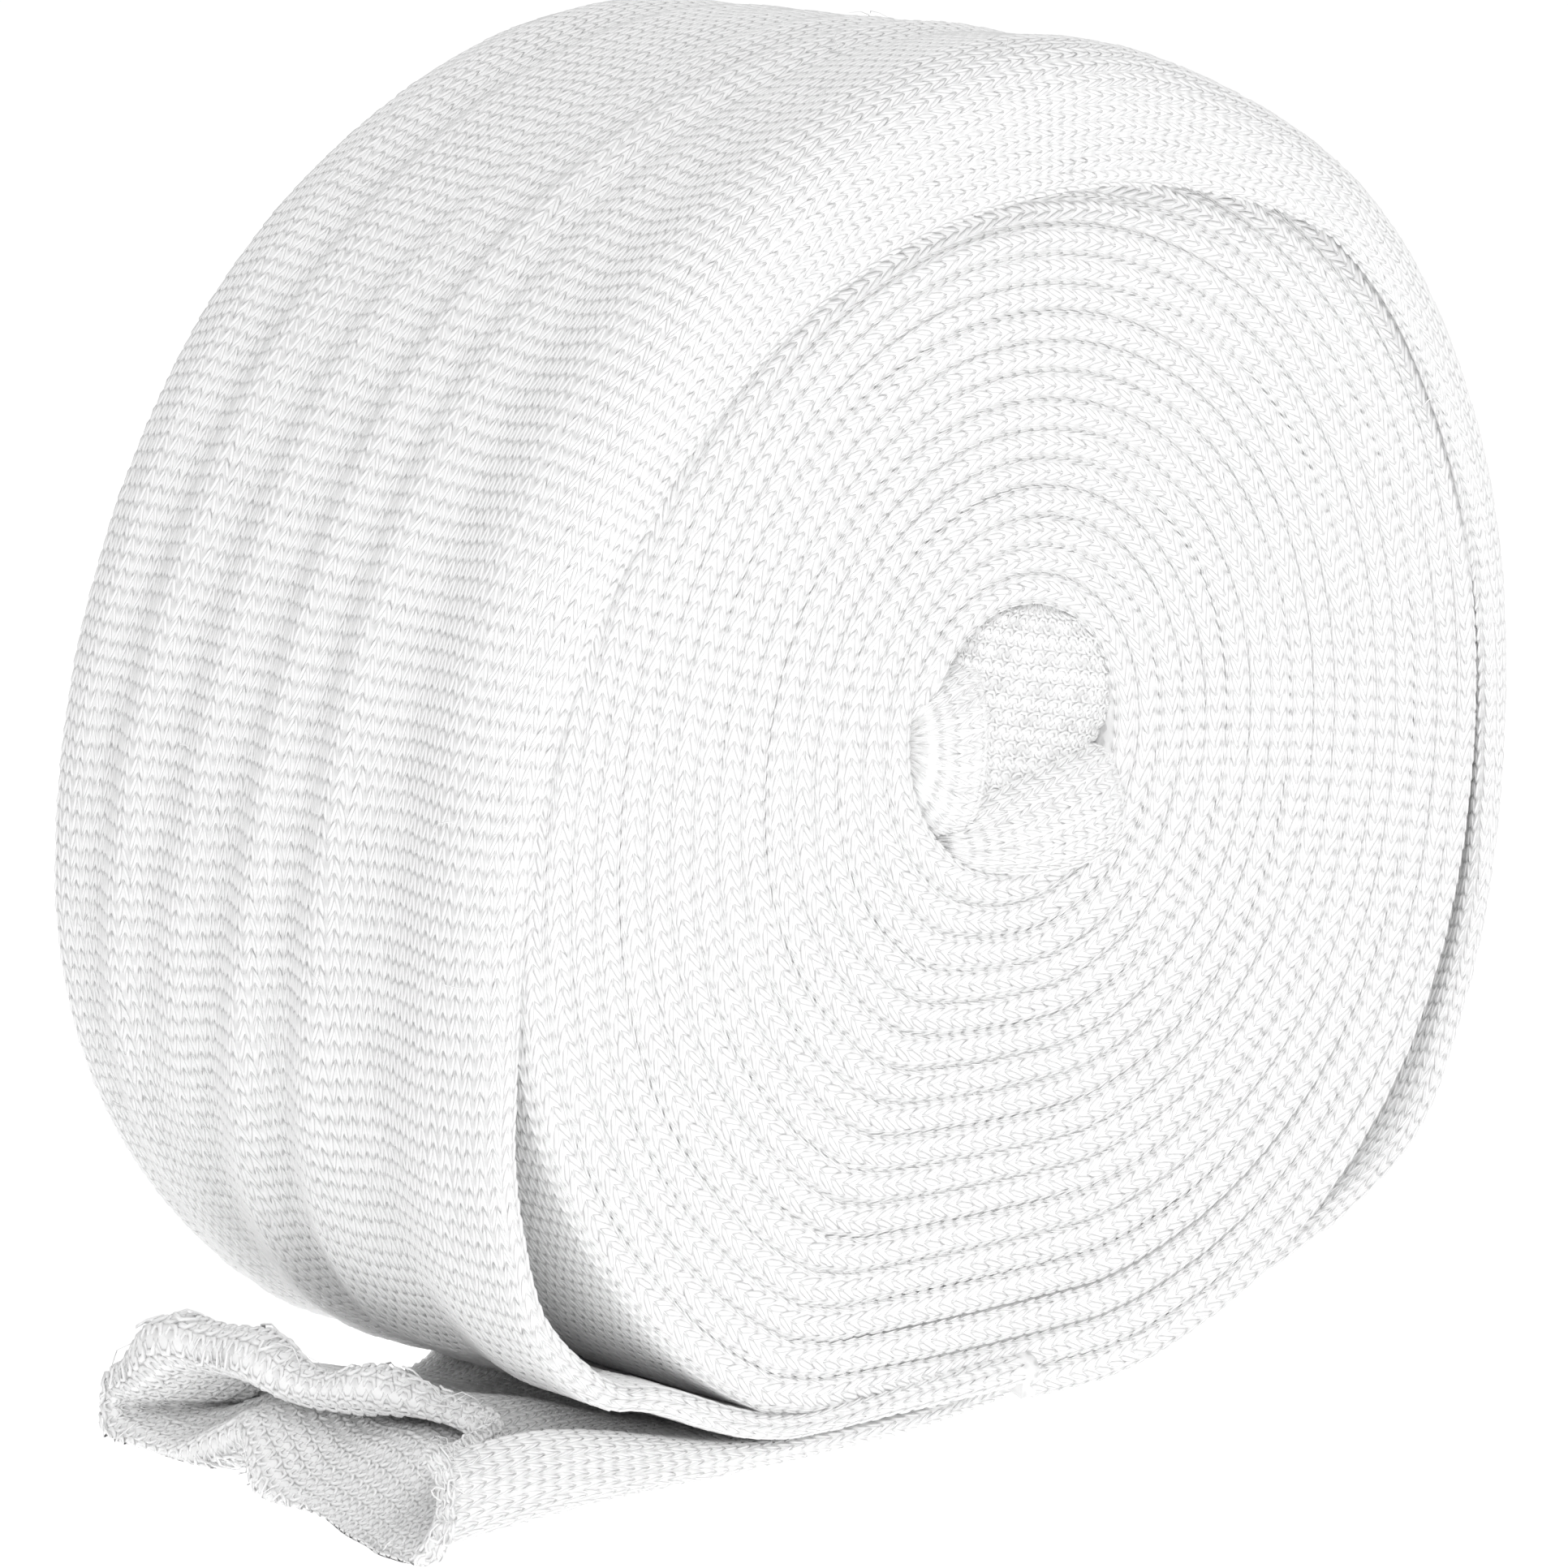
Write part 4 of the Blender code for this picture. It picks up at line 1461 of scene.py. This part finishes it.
    def patches(self) -> list[Patch]:
        """The knit outside, and the purl and the loose yarn inside and on the lip."""
        course_at, wales = self.surface.course_at, self.wales
        knit_rows = self.rows - 1
        knit_courses = int(course_at[knit_rows - 1]) - 1
        first = int(course_at[knit_rows]) + 1
        purl_courses = int(course_at[knit_rows + self.lip_steps]) + self.purl_depth - first
        return [
            Patch("open_end_stitches", StitchKind.KNIT, 0, wales, 3, knit_courses, 0.2, seed=21),
            Patch("open_end_purl_loops", StitchKind.PURL, 0, wales, first, purl_courses, 0.2, seed=22),
            Patch("cut_edge_loops", StitchKind.LOOP, 0, wales, first, 3, 0.4, 0.7, 23, 1.0, 0.22),
            Patch("cut_edge_fibres", StitchKind.FIBRE, 0, wales, first, 3, 0.4, 1.0, 24, 3.0, 0.10),
        ]


@dataclass(frozen=True)
class Fold:
    """One soft fold of the tube in a face's middle, drawn in that face's plane."""

    name: str
    kind: StitchKind
    origin: tuple[float, float]      # X and height off the roll's axis
    heading: float                   # degrees, of the wales
    outline: Table                   # along, low edge, high edge, rise above the fold's own base
    base: float = 0.0028             # how far its edges lie behind the face
    depth: float = 0.005             # how deep the fold goes behind its edges
    rows: int = 26
    front: int = 18
    squareness: float = 2.3
    density: float = 1.15            # of its stitches, against the tube's

    def surface(self, side: int, half_width: float, axis_height: float) -> KnitSurface:
        """Draws the fold as a closed grid.

        Args:
            side: -1 for the near face and 1 for the far one.
            half_width: half the roll's width.
            axis_height: the height of the roll's axis.

        Returns:
            The cloth, whose wales run along the heading.
        """
        first, last = self.outline[0][0], self.outline[-1][0]
        along = first + (last - first) * (1 - np.cos(np.linspace(0, np.pi, self.rows))) / 2
        low, high, rise = (smooth_column(self.outline, k, along)[:, None] for k in (1, 2, 3))
        share = (1 - np.cos(np.linspace(0, np.pi, self.front)))[None] / 2
        dome = np.clip(1 - np.abs(2 * share - 1) ** self.squareness, 0, None) ** (1 / self.squareness)
        across = low + (high - low) * share
        inset = self.base - rise * dome
        back_share = share[:, ::-1][:, 1:-1:3]
        back_across = low + (high - low) * back_share
        back_inset = self.base + self.depth * np.sqrt(np.clip(1 - (2 * back_share - 1) ** 2, 0, None))
        across = np.concatenate([across, back_across], axis=1)
        inset = np.concatenate([inset, np.broadcast_to(back_inset, back_across.shape)], axis=1)
        c, n = math.cos(math.radians(self.heading)), math.sin(math.radians(self.heading))
        mirror = -side
        x = mirror * (self.origin[0] + along[:, None] * c - across * n)
        z = axis_height + self.origin[1] + along[:, None] * n + across * c
        grid = np.stack([x, side * (half_width - inset), z], axis=2)
        widest = float((high - low).max())
        wales = max(round(widest / WALE * self.density), 2)
        closing = wales + np.arange(1, back_share.shape[1] + 2)
        wale_at = np.concatenate([np.linspace(0, wales, self.front), closing])
        course_at = (along - first) / COURSE * self.density
        name = f"{self.name}_{'near' if side < 0 else 'far'}"
        return KnitSurface(name, grid, wale_at, np.append(course_at, course_at[-1]))

    def patch(self, cloth: KnitSurface) -> Patch:
        """The stitches on the fold's front."""
        wales = int(cloth.wale_at[self.front - 1])
        courses = int(cloth.courses()) + 1
        return Patch(f"{cloth.name}_stitches", self.kind, 0, wales, 0, courses, 0.15, lift=0.9, seed=31)


@dataclass
class FoldedCore:
    """The tube's first length, folded over itself in the core, with its folds on both faces."""

    path: RollPath
    half_width: float = 0.032
    plug_radius: float = 0.0128
    plug_inset: float = 0.0042
    plug_shift: tuple[float, float] = (-0.001, 0.0005)       # X and height off the roll's axis
    plug_steps: int = 48
    plug_rings: Table = (
        # share of the half width, share of the radius
        (-1.0, 0.85),
        (-0.985, 1.0),
        (0.985, 1.0),
        (1.0, 0.85),
    )
    folds: tuple[Fold, ...] = (
        Fold(
            "core_inside_fold", StitchKind.PURL, (0.5e-3, 2.0e-3), 78.0,
            (
                (-0.0120, -0.0060, 0.0050, 0.0004),
                (-0.0080, -0.0088, 0.0078, 0.0010),
                (-0.0020, -0.0100, 0.0098, 0.0014),
                (0.0030, -0.0118, 0.0096, 0.0020),
                (0.0070, -0.0106, 0.0090, 0.0024),
                (0.0100, -0.0070, 0.0066, 0.0022),
                (0.0118, -0.0020, 0.0020, 0.0010),
            ),
            base=0.0024,
        ),
        Fold(
            "core_left_fold", StitchKind.KNIT, (-14.6e-3, 0.6e-3), -4.0,
            (
                (-0.0006, -0.0010, 0.0026, 0.0010),
                (0.0010, -0.0044, 0.0052, 0.0034),
                (0.0035, -0.0072, 0.0070, 0.0046),
                (0.0064, -0.0082, 0.0084, 0.0048),
                (0.0084, -0.0080, 0.0084, 0.0036),
                (0.0094, -0.0074, 0.0076, 0.0010),
            ),
        ),
        Fold(
            "core_flap", StitchKind.KNIT, (-10.6e-3, -7.2e-3), 14.5,
            (
                (-0.0006, -0.0020, 0.0004, 0.0008),
                (0.0020, -0.0046, 0.0010, 0.0034),
                (0.0070, -0.0072, 0.0014, 0.0046),
                (0.0120, -0.0092, 0.0014, 0.0048),
                (0.0180, -0.0104, 0.0012, 0.0044),
                (0.0222, -0.0096, 0.0002, 0.0030),
                (0.0246, -0.0070, -0.0026, 0.0008),
            ),
        ),
    )

    def plug(self, material: bpy.types.Material) -> bpy.types.Object:
        """Makes the pressed cloth behind the folds.

        Args:
            material: its finish.

        Returns:
            A closed piece that reaches from face to face.
        """
        steps = self.plug_steps
        angles = np.arange(steps) * 2 * math.pi / steps
        rings = []
        for y, share in self.plug_rings:
            radius = self.plug_radius * share
            rings.append(np.stack([
                radius * np.cos(angles) + self.plug_shift[0],
                np.full(steps, y * (self.half_width - self.plug_inset)),
                self.path.centre_height + radius * np.sin(angles) + self.plug_shift[1],
            ], axis=1))
        counts = np.arange(steps + 1.0), np.arange(len(rings) + 1.0)
        cloth = KnitSurface("core_plug", np.array(rings), *counts)
        made = cloth.build(material)
        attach(made, "root")
        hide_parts("inner_end")
        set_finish(made, "cotton_core")
        return made

    def build(self, ground: bpy.types.Material, net: StitchTree, yarn: bpy.types.Material) -> None:
        """Makes the plug and both faces' folds with their stitches.

        Args:
            ground: the finish between the stitches.
            net: the tree that lays the stitches.
            yarn: the stitches' finish.
        """
        plug = self.plug(ground)
        for side in (-1, 1):
            for fold in self.folds:
                cloth = fold.surface(side, self.half_width, self.path.centre_height)
                made = cloth.build(ground)
                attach(made, "root")
                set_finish(made, "cotton_core")
                stitches = net.lay(made, cloth, fold.patch(cloth), yarn)
                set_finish(stitches, "cotton_core")
                LOG.info("%s: %d faces", made.name, len(made.data.polygons))


@dataclass(frozen=True)
class SoftBox:
    """One square light that faces the roll."""

    name: str
    place: tuple[float, float, float]
    size: float
    power: float                     # in watts


@dataclass(frozen=True)
class Studio:
    """A pale floor, soft even light and the camera at the photograph's angle."""

    target: tuple[float, float, float] = (0.0, 0.0, 0.065)
    azimuth: float = -42.1           # 0 looks along +Y and 90 along -X
    elevation: float = 10.3
    distance: float = 0.78
    lens: float = 184.8
    sensor: float = 36.0
    frame_px: float = 1932.0
    target_px: tuple[float, float] = (987.0, 853.0)
    surround: float = 0.53           # of the white room's light, against the white that the camera sees
    floor_glow: float = 0.50
    floor_half: float = 3.0
    floor_drop: float = 0.00005      # under the object, so that the two never share a plane
    floor_tone: float = 0.95
    floor_roughness: float = 0.9
    lamps: tuple[SoftBox, ...] = (
        SoftBox("key_box", (-0.16, -0.66, 0.90), 0.7, 3.7),
        SoftBox("fill_box", (-0.62, -0.66, 0.30), 0.6, 1.3),
    )
    bounces: int = 14                # white cloth passes light on many times in its hollows

    def camera(self) -> None:
        """Makes the scene's camera."""
        data = bpy.data.cameras.new("camera")
        data.sensor_width = self.sensor
        data.lens = self.lens
        data.shift_x = -(self.target_px[0] / self.frame_px - 0.5)
        data.shift_y = self.target_px[1] / self.frame_px - 0.5
        data.clip_start, data.clip_end = 0.01, 20.0
        camera = bpy.data.objects.new("camera", data)
        a, e = math.radians(self.azimuth), math.radians(self.elevation)
        back = Vector((math.sin(a) * math.cos(e), -math.cos(a) * math.cos(e), math.sin(e)))
        camera.location = Vector(self.target) + back * self.distance
        camera.rotation_mode = "QUATERNION"
        camera.rotation_quaternion = (-back).to_track_quat("-Z", "Y")
        bpy.context.scene.collection.objects.link(camera)
        bpy.context.scene.camera = camera

    def floor(self) -> None:
        """Makes the pale floor."""
        mesh = bpy.data.meshes.new("floor")
        ends = (-self.floor_half, self.floor_half)
        corner_points = [(x, y, 0) for y, row in zip(ends, (ends, ends[::-1])) for x in row]
        mesh.from_pydata(corner_points, [], [(0, 1, 2, 3)])
        material = bpy.data.materials.new("pale_floor")
        material.use_nodes = True
        feed(material.node_tree.nodes[SHADER], {
            "Base Color": (*[self.floor_tone] * 3, 1.0),
            "Roughness": self.floor_roughness,
            "Emission Color": WHITE,
            "Emission Strength": self.floor_glow,
        })
        mesh.materials.append(material)
        floor = bpy.data.objects.new("floor", mesh)
        floor.location.z = -self.floor_drop
        bpy.context.scene.collection.objects.link(floor)

    def light(self, box: SoftBox) -> None:
        """Hangs one soft box.

        Args:
            box: its place, size and power.
        """
        data = bpy.data.lights.new(box.name, "AREA")
        data.size = box.size
        data.energy = box.power
        lamp = bpy.data.objects.new(box.name, data)
        lamp.location = box.place
        aim = Vector(self.target) - Vector(box.place)
        lamp.rotation_mode = "QUATERNION"
        lamp.rotation_quaternion = aim.to_track_quat("-Z", "Y")
        bpy.context.scene.collection.objects.link(lamp)

    def build(self) -> None:
        """Makes the camera, the floor and the light."""
        scene = bpy.context.scene
        self.camera()
        self.floor()
        for box in self.lamps:
            self.light(box)
        world = bpy.data.worlds.new("studio")
        world.use_nodes = True
        tree = world.node_tree
        room = tree.nodes["Background"]
        feed(room, {"Color": WHITE, "Strength": self.surround})
        seen = add_node(tree, "ShaderNodeBackground", {"Color": WHITE})
        ray = add_node(tree, "ShaderNodeLightPath").outputs["Is Camera Ray"]
        chosen = add_node(tree, "ShaderNodeMixShader", {0: ray, 1: room.outputs[0], 2: seen.outputs[0]})
        feed(tree.nodes["World Output"], {"Surface": chosen.outputs[0]})
        scene.world = world
        scene.cycles.max_bounces = self.bounces
        scene.cycles.diffuse_bounces = self.bounces
        scene.view_settings.view_transform = "Standard"
        scene.view_settings.look = "None"


def corners(bounds: tuple[Vector, Vector]) -> list[list[float]]:
    """A box's two corners as plain lists."""
    return [list(corner) for corner in bounds]


def main() -> None:
    """Builds the studio and the bandage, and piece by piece."""
    logging.basicConfig(level=logging.INFO, format="%(message)s")
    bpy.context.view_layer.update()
    Studio().build()
    yarn = Cotton().material()
    net = StitchTree()
    path = RollPath()
    free_end = OpenEnd()
    wound, side, loose = WoundTurns(path), RollSide(path), LooseTurn(path, free_end)
    for builder in (wound, side, loose, free_end):
        cloth = builder.build()
        LOG.info("%s: %d faces", cloth.name, len(cloth.data.polygons))
        pieces = [net.lay(cloth, builder.surface, patch, yarn) for patch in builder.patches()]
        for piece in pieces:
            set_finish(piece, cloth["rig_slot"])
        builder.flat()
    core_ground = Ground("core_ground", wales=8.0, courses=8.0)      # about what one fold has
    FoldedCore(path).build(core_ground.material(), net, yarn)


if __name__ == "__main__":
    main()
